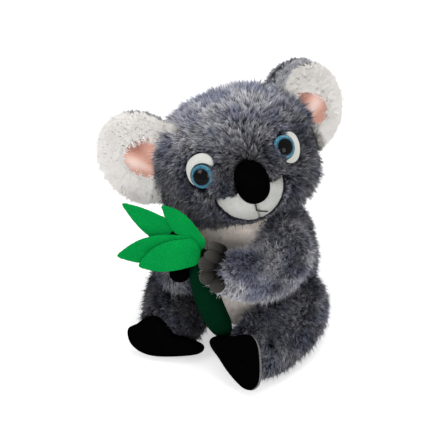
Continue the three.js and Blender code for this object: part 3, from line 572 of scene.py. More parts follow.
def inset(at, depth):
    """A surface moved inward, to lie under its pile."""
    return lambda row, turn: at(row, turn, -depth)


cloth_piece("torso_cloth", [inset(torso_at, PILE_DEPTHS["torso"])], "torso",
            ["body_skin", "body_stuffing", "pellet_bag"], "grey_fur", grey_pile, charted=shaded_under_grey)


# %% [markdown]
# Pile is left out where it would grow into another piece. A point is inside the torso when its distance from the
# torso's line is less than the section there, inside the head when it is nearer the head's middle than the head's
# surface is, and inside a limb when it is nearer to the limb's path than the limb is thick.


# %% Where one piece is inside another
def torso_section(height):
    """The torso tube's half width and half depth at a height."""
    share = np.clip((height + SEAT_DEPTH) / TORSO_HEIGHT, 0.001, 0.999)
    close = end_rounding(share, *TORSO_ENDS)
    return catmull(torso_wide, share) * close, catmull(torso_deep, share) * close


def torso_depth_at(points):
    """The distance from the torso's line over the section's half size: below 1 is inside."""
    wide, deep = torso_section(points[:, 2])
    return np.hypot(points[:, 0] / wide, (points[:, 1] + SEAM_GAP) / deep)


HEAD_SIZE, HEAD_POWER, CHEEK = (143.0, 130.0, 114.0), 2.2, 3.5
CHEEK_ASIDE, CHEEK_DOWN, CHEEK_SPREAD = 0.62, 0.42, 0.4
HEAD_TURN, HEAD_TILT = np.radians(27.5), np.radians(-18.5)
head_middle = np.array([5.0, -21.0, 0.632 * TORSO_HEIGHT + 0.57 * HEAD_SIZE[2]])
turned = np.array(Matrix.Rotation(HEAD_TURN, 3, "Z") @ Matrix.Rotation(HEAD_TILT, 3, "Y"))
from_head = lambda points: points @ turned.T + head_middle
to_head = lambda points: (points - head_middle) @ turned


def head_radius(direction, grow=0.0):
    """A superellipsoid's radius plus two soft swellings where the cheeks are."""
    away = (np.abs(direction[..., 0]) - CHEEK_ASIDE) ** 2 + (direction[..., 2] + CHEEK_DOWN) ** 2
    halves = np.array(HEAD_SIZE) / 2 + grow
    return egg_radius(direction, halves, HEAD_POWER) + CHEEK * np.exp(-away / CHEEK_SPREAD**2)


def head_depth_at(points):
    """How far above the head's surface a point lies, in millimetres; below 0 is inside."""
    local = to_head(points)
    return np.linalg.norm(local, axis=-1) - head_radius(unit_vectors(local))


def near_limb(points, form):
    """The distance to the nearest point of a limb's path, less the limb's half thickness there."""
    share = np.linspace(0.02, 0.98, 40)
    thick = (catmull(form["wide"], share) + catmull(form["deep"], share)) / 2 * end_rounding(share, *form["ends"])
    distance = np.linalg.norm(points[:, None] - catmull(form["line"], share)[None], axis=-1) - thick
    return distance.min(axis=1)


def above_floor(points):
    """Whether a point is more than half a millimetre above the floor."""
    return seated(points)[:, 2] / unit > 0.5


# %% [markdown]
# ## Arms and legs: their paths
# Each limb is one stuffed tube from its seam on the torso to the wrist or ankle. The shoulder and the hip are given
# as shares of the torso, and the bends as shares of the limb's reach, so that the pose is easy to change. The pile
# makes a limb look a little displaced, so its tube has a line of its own beside the CAD limb's, whose end carries
# the paw or the foot.


# %% Limb paths
def limb(reach, thickness, ends, wide, deep, root, line, end):
    """The root on the torso plus shares of the reach, with half sizes as shares of the thickness. The end is the
    last of the CAD limb's own path."""
    start = np.array(root) * [TORSO_WIDTH / 2, TORSO_DEPTH / 2, TORSO_HEIGHT]
    line, end = (start + np.array(shares) * reach for shares in (line, end))
    wide, deep = (np.array(shares) * thickness / 2 for shares in (wide, deep))
    return {"line": line, "end": end, "wide": wide, "deep": deep, "ends": ends,
            "at": tube(line, wide, deep, ends, [0, 0, 1])}


ARM, LEG = (120.0, 50.0, (0.2, 0.16)), (110.0, 76.0, (0.25, 0.14))  # reach, thickness, rounded shares
wide_sleeve, slim_sleeve = [0.88, 1, 0.96, 0.84, 0.66], [0.88, 0.9, 0.84, 0.74, 0.58]
trouser = [0.97, 0.86, 0.74, 0.6], [0.97, 0.8, 0.66, 0.58]
limbs = {
    "arm_left": limb(*ARM, wide_sleeve, wide_sleeve, [0.712, -0.277, 0.667],
                     [[-0.05, 0, 0], [0.04, -0.283, -0.18], [-0.07, -0.55, -0.23], [-0.36, -0.76, -0.16]],
                     [[-0.216, -0.683, -0.192]]),
    "leg_left": limb(*LEG, *trouser, [0.7, 0.12, 0.257],
                     [[-0.045, 0, 0], [0.055, -0.364, -0.2], [-0.005, -0.71, -0.33], [-0.13, -1.04, -0.336]],
                     [[0.036, -0.71, -0.31], [-0.1, -1.04, -0.336]]),
    "arm_right": limb(*ARM, slim_sleeve, slim_sleeve, [-0.712, -0.277, 0.646],
                      [[0.03, 0, 0], [0.08, -0.233, -0.18], [0.19, -0.467, -0.26], [0.35, -0.633, -0.22]],
                      [[0.317, -0.633, -0.275]]),
    "leg_right": limb(*LEG, *trouser, [-0.63, 0.1, 0.257],
                      [[0.055, 0, 0], [0.035, -0.32, -0.1], [0.07, -0.65, -0.22], [0.07, -0.86, -0.3]],
                      [[0.02, -0.65, -0.22], [0.055, -0.86, -0.3]]),
}

# %% [markdown]
# The white front panel runs from the chin to the seat. It is sewn in edge to edge with the grey cloth, so it follows
# the same tube, between two edges that curve in at the top and the bottom. Its pile is shorter and finer.

# %% Front panel
panel_heights = np.array([0.03, 0.16, 0.38, 0.62, 0.84, 1.1]) * TORSO_HEIGHT - SEAT_DEPTH
panel_widths = np.array([0.1, 0.3, 0.4, 0.38, 0.24, 0.14]) * TORSO_WIDTH
PANEL_LOW, PANEL_HIGH, PANEL_FRONT, PANEL_BACK, PANEL_SUNK = panel_heights[0] + 14, 0.78 * TORSO_HEIGHT, 1.4, -1.0, 2.4


def panel_half_width(height):
    """Half the panel's width at a height, between the heights that are given."""
    return np.interp(height, panel_heights, panel_widths)


def on_panel(points, margin=0.0):
    """Whether a point of the torso is on the white panel."""
    inside = np.abs(points[:, 0]) < panel_half_width(points[:, 2]) - margin
    return inside & (points[:, 1] < -0.2 * TORSO_DEPTH)


def panel_at(row, turn):
    """A lens between the panel's edges: rows run from its outer middle over the rim to its inner middle."""
    reach, cosine = np.sin(np.pi * row), np.abs(np.cos(turn))
    middle, half = (PANEL_LOW + PANEL_HIGH) / 2, PANEL_HIGH - PANEL_LOW
    height = middle + reach * np.sin(turn) * half / 2
    edge = panel_half_width(middle + np.sin(turn) * half / 2) * 0.98
    side = reach * np.cos(turn) * edge / np.maximum(cosine, 0.5) * 0.5 * (1 + cosine)
    side = np.clip(side, -panel_half_width(height), panel_half_width(height))
    wide, deep = torso_section(height)
    depth = -SEAM_GAP - deep * np.sqrt(np.maximum(1 - (side / wide) ** 2, 0.02))
    lift = np.where(row < 0.5, PANEL_FRONT, PANEL_BACK) * np.sqrt(np.maximum(1 - reach**4, 0)) - PANEL_SUNK
    return np.stack([side, depth - lift, height], axis=-1)


cloth_piece("front_panel_cloth", [panel_at], "torso", ["front_panel"], "white_plush", panel_pile, charted=under_white)


# %% [markdown]
# The torso's pile hangs down. Its tufts are drawn on the same tube, those under the panel, the head or a limb are
# dropped, and the rest are split where the real cloth has its side seams, which keeps each mesh a handy size.


# %% Torso pile
HEAD_COVERS, LIMB_COVERS = -6, -8


def covered(points):
    """Torso points that lie well inside the head, an arm or a leg."""
    hidden = head_depth_at(points) < HEAD_COVERS
    for form in limbs.values():
        hidden |= near_limb(points, form) < LIMB_COVERS
    return hidden


rng = np.random.default_rng(4)
points, normals, _ = tufts_on(torso_at, 15000, PILE_DEPTHS["torso"], rng)
plain = ~covered(points) & above_floor(points) & ~on_panel(points)
DOWN, AHEAD = np.array([0.0, 0.0, -1.0]), np.array([0.0, -0.6, 0.0])
nap = DOWN + AHEAD * (normals[:, 2:] > 0.3)
for part, side in (("front", points[:, 1] < 0), ("back", points[:, 1] >= 0)):
    dress(blades(f"torso_pile_{part}", plain & side, points, normals, nap, rng, 10.0, tone=0.45),
          "torso", "grey_fur", grey_pile)
points, normals, _ = tufts_on(torso_at, 16000, 2.0, rng)
white = ~covered(points) & on_panel(points, 0.5) & above_floor(points)
dress(blades("front_panel_pile", white, points, normals, DOWN + AHEAD * (normals[:, 2:] > 0), rng, 5.5, width=0.5,
             lean=(20, 58), spread=1.4, tone_spread=0.08, untidy=12.0, soft=True), "torso", "white_plush", panel_pile)


# %% [markdown]
# ## Head
# The head is an egg with full cheeks. The eyes sit on white felt, the nose is a black velvet bean, and the muzzle is
# two white halves with a seam between them. Everything on the face is placed by two angles, how far aside and how
# far up, because that is how a toy maker marks a head.


# %% Head cloth
def head_at(row, turn, grow=0.0):
    """The head's radius in each direction, in the head's own frame, then turned and tilted onto the neck."""
    direction = direction_at(row, turn)
    return from_head(direction * head_radius(direction, grow)[..., None])


def head_point(aside, up, out=0.0):
    """A point over the head in its own frame, at an angle to its left, an angle up and a height off the cloth."""
    direction = direction_at(np.array(0.5 - up / np.pi), np.array(aside - np.pi / 2))
    return direction * (head_radius(direction) + out)


def facing(direction, up):
    """Three axes: the direction itself as the third, and the second as near to up as it can be."""
    forward = unit_vectors(np.asarray(direction, float))
    right = unit_vectors(np.cross(up, forward))
    return np.stack([right, np.cross(forward, right), forward], axis=1)


SLIMMER, SLIM_PAST, SLIM_BELOW, SLIM_FADE = 0.15, 30, 12, 16


def slimmed(points):
    """Below the ear the head narrows past a place on its left, where the longest pile stands."""
    local = to_head(points)
    lower = share_of(SLIM_BELOW - local[..., 2], SLIM_FADE)
    local[..., 0] -= SLIMMER * np.maximum(local[..., 0] - SLIM_PAST, 0) * lower
    return from_head(local)


cloth_piece("head_cloth", [lambda row, turn: slimmed(head_at(row, turn, -PILE_DEPTHS["head"]))], "head",
            ["head_skin", "head_stuffing"], "grey_fur", grey_pile, rows=64, columns=96, charted=shaded_under_grey)
NECK_RADIUS = 38.0
neck_middle = np.array([0.0, -SEAM_GAP, 0.632 * TORSO_HEIGHT])


def neck_at(row, turn):
    """A ball at the neck, which fills the bend between the head and the torso."""
    return neck_middle + direction_at(row, turn) * NECK_RADIUS


cloth_piece("neck_cloth", [neck_at], "neck", ["neck_stuffing"], "grey_fur", grey_pile, charted=shaded_under_grey)

# %% [markdown]
# Each eye is a domed plastic button on a stem. It stands on a felt patch that is set outward, so that a white
# crescent shows at its outer side. The felt lies on the curved head, so each of its points is pushed out from the
# head's middle until it is just above the cloth.

# %% Eyes and felt patches
EYE_SPREAD, EYE_RISE, EYE_DIAMETER, EYE_HEIGHT = np.radians(31.5), np.radians(7.5), 22.6, 5.6
FELT, EYE_SEAT, EYE_UNDER, FELT_LIFT = 1.4, 1.7, 0.6, 0.1
patch_edges = {  # angle round the eye in degrees, and the felt's reach there in millimetres
    -1: [[12, 9.5], [35, 14.5], [53, 18], [76, 20], [102, 19.8], [130, 19.6], [165, 16], [215, 12.7], [240, 9.5]],
    1: [[-112, 9.5], [-90, 14.5], [-63, 19.5], [-18, 20], [27, 19.5], [47, 13.8], [70, 9.5]],
}


SIDES = {"left": 1, "right": -1}


def over_rim(row):
    """The reach of a pad's rows from its middle: a share that grows to the rim at half the rows and shrinks again."""
    return np.minimum(np.sin(np.pi * row), 1)


def eye_frame(side):
    """Where an eye stands on the head, with the surface's own normal as its axis."""
    aside, step = side * EYE_SPREAD, np.radians(2)
    across = head_point(aside + step, EYE_RISE) - head_point(aside - step, EYE_RISE)
    rise = head_point(aside, EYE_RISE + step) - head_point(aside, EYE_RISE - step)
    return head_point(aside, EYE_RISE), facing(np.cross(across, rise), [0, 0, 1])


def patch_reach(side, angle):
    """The felt's distance from the eye's middle at an angle, straight between the marks and then smoothed."""
    marks, reach = np.array(patch_edges[side], float).T
    smooth = [np.interp(np.degrees(angle) + step, marks, reach, period=360) for step in np.linspace(-14, 14, 9)]
    return np.mean(smooth, axis=0)


def ringed(reach, turn, height):
    """A point at a reach and an angle in a plane, and a height over it."""
    return np.stack([reach * np.cos(turn), reach * np.sin(turn), height], axis=-1)


def eye_at(side):
    """A dome: height = seat + rise * sqrt(1 - reach^2), closed below by a flat underside."""
    place, axes = eye_frame(side)

    def at(row, turn):
        reach = over_rim(row)
        dome, under = EYE_SEAT + EYE_HEIGHT * np.sqrt(1 - reach**2), EYE_SEAT - EYE_UNDER * (1 - reach)
        local = ringed(reach * EYE_DIAMETER / 2, turn, np.where(row <= 0.5, dome, under))
        return from_head(local @ axes.T + place)

    return at


def patch_at(side):
    """A felt patch under the eye with a rounded edge, at a height over the head's radius in each direction."""
    place, axes = eye_frame(side)

    def at(row, turn):
        share = over_rim(row)
        reach = share * patch_reach(side, turn)
        direction = unit_vectors(ringed(reach, turn, 0 * reach) @ axes.T + place)
        out = np.where(row <= 0.5, 2 * FELT_LIFT + FELT * np.sqrt(np.maximum(1 - share**8, 0)), FELT_LIFT)
        return from_head(direction * (head_radius(direction) + out)[..., None])

    return at


def eye_finish():
    """Rings by the distance from the dome's middle: a black pupil, a blue iris with fine rays, a dark rim."""
    material, tree, shader = new_finish("eye plastic", 0.03, specular=0.09)
    blue = ramp(tree, noise(tree, 1100.0), (0.3, colour(24, 78, 106)), (0.7, colour(96, 160, 184)))
    rings = ((0.0, 0), (0.205, 0), (0.235, 0.5), (0.3, 1), (0.35, 0.62), (0.385, 0.05))
    ring = ramp(tree, map_numbers(tree)[1], *((place, grey(value)) for place, value in rings))
    feed(tree, shader, {"Base Color": mixed(tree, ring, colour(3, 3, 4), blue)})
    return material


eye_plastic = eye_finish()
for name, side in SIDES.items():
    dress(closed_piece(f"eye_{name}_dome", [eye_at(side)], 64, 64), "head", "eye_plastic", eye_plastic, f"eye_{name}")
    patch = dress(closed_piece(f"eye_patch_{name}", [patch_at(side)], 24, 64), "head", "white_felt", white_felt,
                  f"eye_felt_{name}")
    angle = np.radians(np.arange(360))
    edge = patch_reach(side, angle)[:, None] * np.stack([np.cos(angle), np.sin(angle)], axis=1) * unit
    cut = np.abs(np.cross(edge, np.roll(edge, -1, axis=0))).sum() / 2
    declare_sheet(patch, np.ptp(edge, axis=0), cut)

# %% [markdown]
# The muzzle is an egg that is sunk into the head, parted down its middle. Each half pulls in towards the seam, which
# a narrow dip in the egg's radius gives. The nose is a second egg that stands between the halves.

# %% Muzzle and nose
MUZZLE_SIZE, MUZZLE_ASIDE, MUZZLE_DIP, MUZZLE_SINK = (67.0, 50.0, 48.0), np.radians(-2.3), np.radians(-24.6), 0.19
muzzle_middle = head_point(MUZZLE_ASIDE, MUZZLE_DIP, -MUZZLE_SINK * MUZZLE_SIZE[1])
NOSE_SIZE, NOSE_FORWARD, NOSE_DIP = (32.0, 26.0, 41.0), 0.27, np.radians(-6)
nose_middle = head_point(0.0, NOSE_DIP, NOSE_FORWARD * NOSE_SIZE[1])
NOSE_TRIM, NOSE_NUDGE, MUZZLE_TRIM, TUCK = 1.3, [1.0, 0.0, 0.6], 1.2, -PILE_DEPTHS["head"] - 0.8
SEAM_WIDE, SEAM_DEEP = 1.6, 1.3
MUZZLE_LINE, CRESCENT_WIDE, CRESCENT_DEEP, CRESCENT_POWER = 10.3, 30.5, 28.7, 1.75


def muzzle_local(row, turn, grow=0.0):
    """An egg whose radius dips along a bell curve at the seam."""
    direction = direction_at(row, turn)
    radius = egg_radius(direction, np.array(MUZZLE_SIZE) / 2 + (grow - MUZZLE_TRIM))
    seam = np.exp(-((direction[..., 0] * radius / SEAM_WIDE) ** 2))
    return direction * (radius - SEAM_DEEP * seam)[..., None] + muzzle_middle


def on_crescent(local):
    """Below the line, and inside |x / wide|^power + |(z - line) / deep|^power = 1 about the muzzle's middle."""
    aside, up = local[..., 0] - muzzle_middle[0], local[..., 2] - muzzle_middle[2]
    curve = np.abs(aside / CRESCENT_WIDE) ** CRESCENT_POWER
    curve = curve + np.abs((up - MUZZLE_LINE) / CRESCENT_DEEP) ** CRESCENT_POWER
    return (up < MUZZLE_LINE - 0.25 * np.maximum(aside - 18, 0)) & (curve < 1)


def crescent_chart(places):
    """The map's second number is 1 on the white crescent and 0 where the grey pile covers the muzzle."""
    return chart(0.5, on_crescent(muzzle_local(places[..., 0], 2 * np.pi * places[..., 1])) * 1.0)


def outside_head(local, out):
    """Points that would lie inside the head are brought to its cloth, and all go onto the koala."""
    direction = unit_vectors(local)
    distance = np.linalg.norm(local, axis=-1)
    return from_head(direction * np.maximum(distance, head_radius(direction) + out)[..., None])


def half_muzzle(side):
    """One half: the egg's points beyond the seam are flattened onto the seam's plane."""

    def at(row, turn):
        local = muzzle_local(row, turn)
        seam = muzzle_middle[0] + side * SEAM_GAP / 2
        local[..., 0] = side * np.maximum(side * local[..., 0], side * seam)
        return outside_head(local, TUCK)

    return at


def nose_at(row, turn):
    """An egg in front of the face."""
    direction = direction_at(row, turn)
    radius = egg_radius(direction, np.array(NOSE_SIZE) / 2 - NOSE_TRIM, 2.2)
    return outside_head(direction * radius[..., None] + nose_middle + NOSE_NUDGE, TUCK)


for name, side in SIDES.items():
    cloth_piece(f"muzzle_{name}_plush", [half_muzzle(side)], "head", [f"muzzle_{name}"], "white_plush",
                muzzle_plush, rows=96, columns=144, charted=crescent_chart)
cloth_piece("nose_velvet", [nose_at], "head", ["nose"], "black_velvet", black_velvet)
print("muzzle's middle in the head's frame:", muzzle_middle.round(1), "nose's:", nose_middle.round(1))

# %% [markdown]
# One dark thread is sewn over the muzzle, down the seam and then aside, and makes the mouth. It is a thin tube along
# marks that are read as angles aside and down over the muzzle's egg.

# %% Mouth stitch
STITCH = 1.2
stitch_route = [[0, 2], [-1, 9], [-2.5, 17], [-1.5, 20.5], [4, 24], [11, 28], [17, 31], [22, 33]]
aside, down = np.radians(np.array(stitch_route, float)).T
direction = direction_at(0.5 + down / np.pi, aside - np.pi / 2)
radius = egg_radius(direction, np.array(MUZZLE_SIZE) / 2 - MUZZLE_TRIM + (SEAM_GAP + STITCH / 2))
stitch_path = from_head(direction * radius[..., None] + muzzle_middle)
stitch_half = np.full(3, STITCH / 2)
stitch = closed_piece("mouth_thread", [tube(stitch_path, stitch_half, stitch_half, (0.04, 0.04), [0, 1, 0.2])], 60, 10)
dress(stitch, "head", "stitch_thread", stitch_thread, "mouth_stitch")

# %% [markdown]
# The face's pile parts at the nose and is brushed away from it, over the brow and the cheeks. It is trimmed short
# round the eyes and the muzzle, and it grows longer towards the crown and the jaw.

# %% Head pile
EYE_BACK, FAR = -14, 1e3
BARE_FELT, RAISED, RAISED_TO, RAISED_FADE = 11, 4.2, 24, 10  # the pile is raised where an eye's felt is short


def beside_eye(points, side):
    """Whether a point is ahead of an eye's back, its distance from the eye's axis, and the felt's reach there."""
    place, axes = eye_frame(side)
    spot = (to_head(points) - place) @ axes
    felt = patch_reach(side, np.arctan2(spot[:, 1], spot[:, 0]))
    return spot[:, 2] > EYE_BACK, np.hypot(spot[:, 0], spot[:, 1]), felt


def face_clearing(points):
    """The distance, in millimetres, to the nearest felt patch, eye, nose or muzzle edge; below 0 is under one."""
    clear = np.full(len(points), FAR)
    for side in SIDES.values():
        ahead, away, felt = beside_eye(points, side)
        clear = np.minimum(clear, np.where(ahead, 0.0, FAR) + np.minimum(away - felt, away - EYE_DIAMETER / 2))
    for middle, size in ((muzzle_middle, MUZZLE_SIZE), (nose_middle, NOSE_SIZE)):
        away = to_head(points) - middle
        clear = np.minimum(clear, np.linalg.norm(away, axis=-1) - egg_radius(unit_vectors(away), np.array(size) / 2))
    return clear


rng = np.random.default_rng(11)
points, normals, _ = tufts_on(head_at, 19500, PILE_DEPTHS["head"], rng)
points = slimmed(points)
clearing = face_clearing(points)
for side in SIDES.values():
    ahead, away, felt = beside_eye(points, side)
    lift = ((felt < BARE_FELT) & ahead) * RAISED * share_of(RAISED_TO - away, RAISED_FADE)
    points = points + normals * lift[:, None]
FACE_GAP, NECK_DEPTH, NECK_TOP, PARTING, FACE_FALL, FACE_BACK = 0.1, 0.9, 0.9, [0, 30, 4], 0.35, 8
keep = (clearing > FACE_GAP) & ((torso_depth_at(points) > NECK_DEPTH) | (points[:, 2] > NECK_TOP * TORSO_HEIGHT))
nap = unit_vectors(points - from_head(nose_middle + PARTING)) + FACE_FALL * DOWN
aside, behind, up = to_head(points).T
cheek = share_of(aside - 20, 20) * share_of(-(up + 8), 20)
temple = share_of(aside - 42, 18) * np.clip(up / 20 + 0.6, 0, 1) * share_of(16 - up, 12)
LONGER_CHEEK, SHORTER_TEMPLE = 4.0, 6.0
reach = np.interp(clearing, [0, 5, 25, 60], [6.5, 8.0, 10.0, 11.0]) + LONGER_CHEEK * cheek - SHORTER_TEMPLE * temple
# Each tuft's lightness rises from the jaw to the crown. The dark cheeks are the pile's own colour. The light crown is
# partly its silver tips and partly painted light from above.
top = np.clip(up / (HEAD_SIZE[2] / 2), -1, 1)
tones = np.interp(top, [-0.8, -0.1, 0.25, 0.6, 0.9], [0.01, 0.02, 0.09, 0.58, 0.98])
face = behind < FACE_BACK
for part, chosen in (("left", face & (aside >= 0)), ("right", face & (aside < 0)), ("back", ~face)):
    dress(blades(f"head_pile_{part}", keep & chosen, points, normals, nap, rng, reach, tone=tones, untidy=17.0,
                 clump=0.85), "head", "grey_fur", grey_pile)

# %% [markdown]
# The pile between the eyes is long and falls over the inner third of each eye.

# %% Pile over the eyes
OVER_EYE = 240
for name, side, first, last, near in (("left", 1, 150, 245, 12.0), ("right", -1, -62, 26, 13.6)):
    place, axes = eye_frame(side)
    angle, away = np.radians(rng.uniform(first, last, OVER_EYE)), rng.uniform(near, 18, OVER_EYE)
    height = np.interp(away, [11, 18], [4.4, 1.0])
    radial = ringed(1.0, angle, 0 * angle)
    points = from_head(place + (radial * away[:, None] + height[:, None] * [0, 0, 1]) @ axes.T)
    outward = np.tile([0.0, 0.0, 1.0], (OVER_EYE, 1)) @ axes.T @ turned.T
    dress(blades(f"eye_pile_{name}", np.full(OVER_EYE, True), points, outward, -radial @ axes.T @ turned.T + 0.3 * DOWN,
                 rng, 6.0, tone=0.06, lean=(42, 74), spread=1.8), "head", "grey_fur", grey_pile)

# %% [markdown]
# Round the white crescent the grey cloth runs over the muzzle, up to the nose above it and under the chin below it.
# Its tufts stand on the muzzle's own egg and point away from the nose.

# %% Pile round the crescent
muzzle_at = lambda row, turn, grow=0.0: from_head(muzzle_local(row, turn, grow))
points, normals, _ = tufts_on(muzzle_at, 6400, 0.0, rng)
local = to_head(points)
away = local - nose_middle - NOSE_NUDGE
under_nose = np.linalg.norm(away, axis=-1) - egg_radius(unit_vectors(away), np.array(NOSE_SIZE) / 2) < -0.6
keep = ~on_crescent(local) & ~under_nose & (head_depth_at(points) > -3)
nap = unit_vectors(points - from_head(nose_middle + [0, 12, -4]))
under_chin = share_of(muzzle_middle[2] - 6 - local[:, 2], 8)
# Under the chin the pile is shorter, and its darker tone there is painted shade under the muzzle.
dress(blades("muzzle_edge_pile", keep, points, normals, nap, rng, 4.5 - 2 * under_chin, width=0.6, lean=(30, 66),
             spread=1.5, tone=0.14 - 0.12 * under_chin), "head", "grey_fur", grey_pile)

# %% [markdown]
# ## Ears
# An ear is a flat pillow, cupped forward. Its back is grey, its front is white and shaggy, and a pink satin lining
# lies in the cup. Both sides are one formula: a middle sheet that bends with the square of the distance from the
# ear's centre, and a swelling that is added in front of it and behind it.

# %% Ear surfaces
EAR_WIDTH, EAR_HEIGHT, EAR_THICKNESS, EAR_CUP = 69.0, 81.0, 18.0, 5.0
EAR_SHARES = {"left": (-0.03, 0.06, 0.18), "right": (0.11, 0.06, 0.235)}
EAR_FLARE, EAR_TIP, EAR_LEAN = 0.25, 0.1, 0.42
LEFT_BACK_SHIFT = (-4.0, 2.0)


def ear_frame(name):
    """The ear's middle and axes in the head's frame: it faces ahead and a little outward, and leans outward."""
    side, (reach, back, raise_) = SIDES[name], EAR_SHARES[name]
    middle = np.array([side * (HEAD_SIZE[0] / 2 + reach * EAR_WIDTH), back * HEAD_SIZE[1], raise_ * HEAD_SIZE[2]])
    return middle, facing([side * EAR_FLARE, -1, EAR_TIP], [side * EAR_LEAN, 0, 1])


def ear_share(across, up):
    """The distance from the ear's middle as a share of its rim's."""
    return np.hypot(2 * across / EAR_WIDTH, 2 * up / EAR_HEIGHT)


def ear_sheet(across, up, grow=0.0):
    """The middle sheet's height, cup * share^2, and the swelling over it, half the thickness * sqrt(1 - share^3)."""
    share = ear_share(across, up)
    return EAR_CUP * share**2, (EAR_THICKNESS / 2 + grow) * np.sqrt(np.maximum(1 - np.minimum(share, 1) ** 3, 0))


def ear_at(name, part):
    """The front or the back pillow: rows run from its outer middle over the rim to the middle sheet."""
    middle, axes = ear_frame(name)
    way = 1 if part == "front" else -1
    shift = LEFT_BACK_SHIFT if (name, part) == ("left", "back") else (0.0, 0.0)

    def at(row, turn, grow=0.0):
        reach = over_rim(row)
        across, up = reach * np.cos(turn) * (EAR_WIDTH / 2 + grow), reach * np.sin(turn) * (EAR_HEIGHT / 2 + grow)
        sheet, swell = ear_sheet(across, up, grow)
        height = way * SEAM_GAP / 2 + sheet + way * np.where(row < 0.5, swell, 0)
        local = np.stack([across + shift[0], up + shift[1], height], axis=-1)
        return outside_head(local @ axes.T + middle, 0.0)

    return at


print("ears' middles in the head's frame:", *(ear_frame(name)[0].round(1) for name in SIDES))

# %% [markdown]
# The lining is a thin patch whose outline was drawn as a closed curve. Gathered into the ear's inner lower corner, it
# folds in a fan, so its height is a sum of waves in the angle about that corner. Its map paints light on the ridges,
# and shade between them, along the top and towards the edge.

# %% Ear cloths and lining
lining_outlines = {
    "left": [[-13, 6], [-10, 11], [-2, 13], [12, 11.6], [22, 4.6], [23, -4.3], [17.4, -12.4], [10.7, -19], [-1, -20],
             [-12, -8]],
    "right": [[-14, 2], [-13.1, 8.4], [-5.7, 14.1], [3.6, 15.8], [18, 10], [24, 0], [16, -16], [3, -26], [-8.7, -14],
              [-14.2, -5]],
}
lining_middles = {"left": np.array([5.0, -3.0]), "right": np.array([3.0, -4.0])}
FOLD_CORNER, FOLD_REACH, TOP_SHADE, LINING_LIFT, LINING_UNDER, LINING_OUT = (8, 27), 34, 14, 0.5, 0.1, 0.2


def lining_spot(name, row, share):
    """The reach from the lining's middle, how far across and up the ear, and the fan of folds from about -1 to 1."""
    reach = over_rim(row)
    edge = closed_curve(lining_outlines[name], share) - lining_middles[name]
    across, up = np.moveaxis(lining_middles[name] + edge * reach[..., None], -1, 0)
    aside, above = SIDES[name] * across + FOLD_CORNER[0], up + FOLD_CORNER[1]
    angle, away = np.arctan2(above, aside), np.hypot(above, aside) / FOLD_REACH
    ridges = np.sin(6.5 * angle + 0.9) + 0.6 * np.sin(11 * angle + 2.2) + 0.3 * np.sin(5 * away + 3 * angle)
    return reach, across, up, ridges / 1.6 * np.clip(away, 0, 1)


def lining_at(name):
    """The cup's own height, plus the folds, which flatten out towards the lining's edge."""
    middle, axes = ear_frame(name)

    def at(row, turn):
        reach, across, up, folds = lining_spot(name, row, turn / (2 * np.pi))
        sheet, swell = ear_sheet(across, up)
        height = SEAM_GAP / 2 + sheet + swell
        height = height + np.where(row < 0.5, LINING_LIFT + (1 - reach**4) * (0.8 + 1.1 * folds), LINING_UNDER)
        return outside_head(np.stack([across, up, height], axis=-1) @ axes.T + middle, LINING_OUT)

    return at


def lining_painted_shade(name):
    """The map's first number, as painted light and shade: light on the ridges, and dark between them, along the top and
    towards the edge.
    """

    def charted(places):
        reach, _, up, folds = lining_spot(name, places[..., 0], places[..., 1])
        high = share_of(up, TOP_SHADE)
        return chart(np.clip(0.56 + 0.42 * folds - 0.34 * high - 0.1 * reach**6, 0.02, 0.98), 0.5)

    return charted


for name in SIDES:
    # The ears' back cloth is given a lighter tone than the cloth under the other grey pile. This is painted light on
    # the ears' rims.
    for part, slot, finish, charted in (("front", "white_fur", white_pile, under_white),
                                        ("back", "grey_fur", grey_pile, even_chart(0.6, 0.6))):
        cloth_piece(f"ear_{part}_{name}_cloth", [inset(ear_at(name, part), PILE_DEPTHS["ear"])], f"ear_{name}",
                    [f"ear_{part}_{name}"], slot, finish, charted=charted)
    lining = closed_piece(f"ear_lining_{name}_satin", [lining_at(name)], 64, 120, lining_painted_shade(name))
    dress(lining, f"ear_{name}", "pink_satin", pink_satin, f"ear_lining_{name}")
    flat = np.ptp(closed_curve(lining_outlines[name], np.linspace(0, 1, 181)), axis=0) * unit
    declare_sheet(lining, flat, cut_area(lining))

# %% [markdown]
# The white pile of the ear's front is brushed outward over the rim, where it stands out as a ragged fringe. The
# grey pile of the back does the same, and shows as a dark edge behind the white one.

# %% Ear pile
EAR_TUFTS = {"front": (4200, 0.5), "back": (3000, 0.6)}  # how many, and the share of the rows that shows
EAR_LENGTHS = {"left": [5.0, 7.0, 5.0], "right": [5.0, 7.0, 8.0]}  # near the middle, near the rim and on it
CURL_STARTS = {"left": [0.82, 1.0], "right": [0.985, 0.95]}  # shares of the rim's distance, 24 mm to either side
LINING_EDGE, FRINGE_EDGE, FRINGE_FALL = 0.96, 1.12, 12


def inside_lining(name, spot):
    """The distance from the lining's middle over the distance to its edge in that direction; below 1 is on it."""
    from_middle = spot[:, :2] - lining_middles[name]
    edge = closed_curve(lining_outlines[name], np.linspace(0, 1, 181)) - lining_middles[name]
    angles, towards = (np.degrees(np.arctan2(place[:, 1], place[:, 0])) for place in (edge, from_middle))
    order = np.argsort(angles)
    rim = np.interp(towards, angles[order], np.linalg.norm(edge, axis=1)[order], period=360)
    return np.linalg.norm(from_middle, axis=1) / rim


def on_curl(name, spot):
    """The grey back shows along the top of an ear, and where the left ear's inner upper edge curls forward."""
    across, up = spot[:, 0], spot[:, 1]
    starts = np.interp(across, [-24, 24], CURL_STARTS[name])
    top = (ear_share(across, up) > starts) & (up > 12) & (across < 27)
    return top | ((name == "left") & (across < -21.0 - 0.24 * (up - 10.4)) & (up > 9))


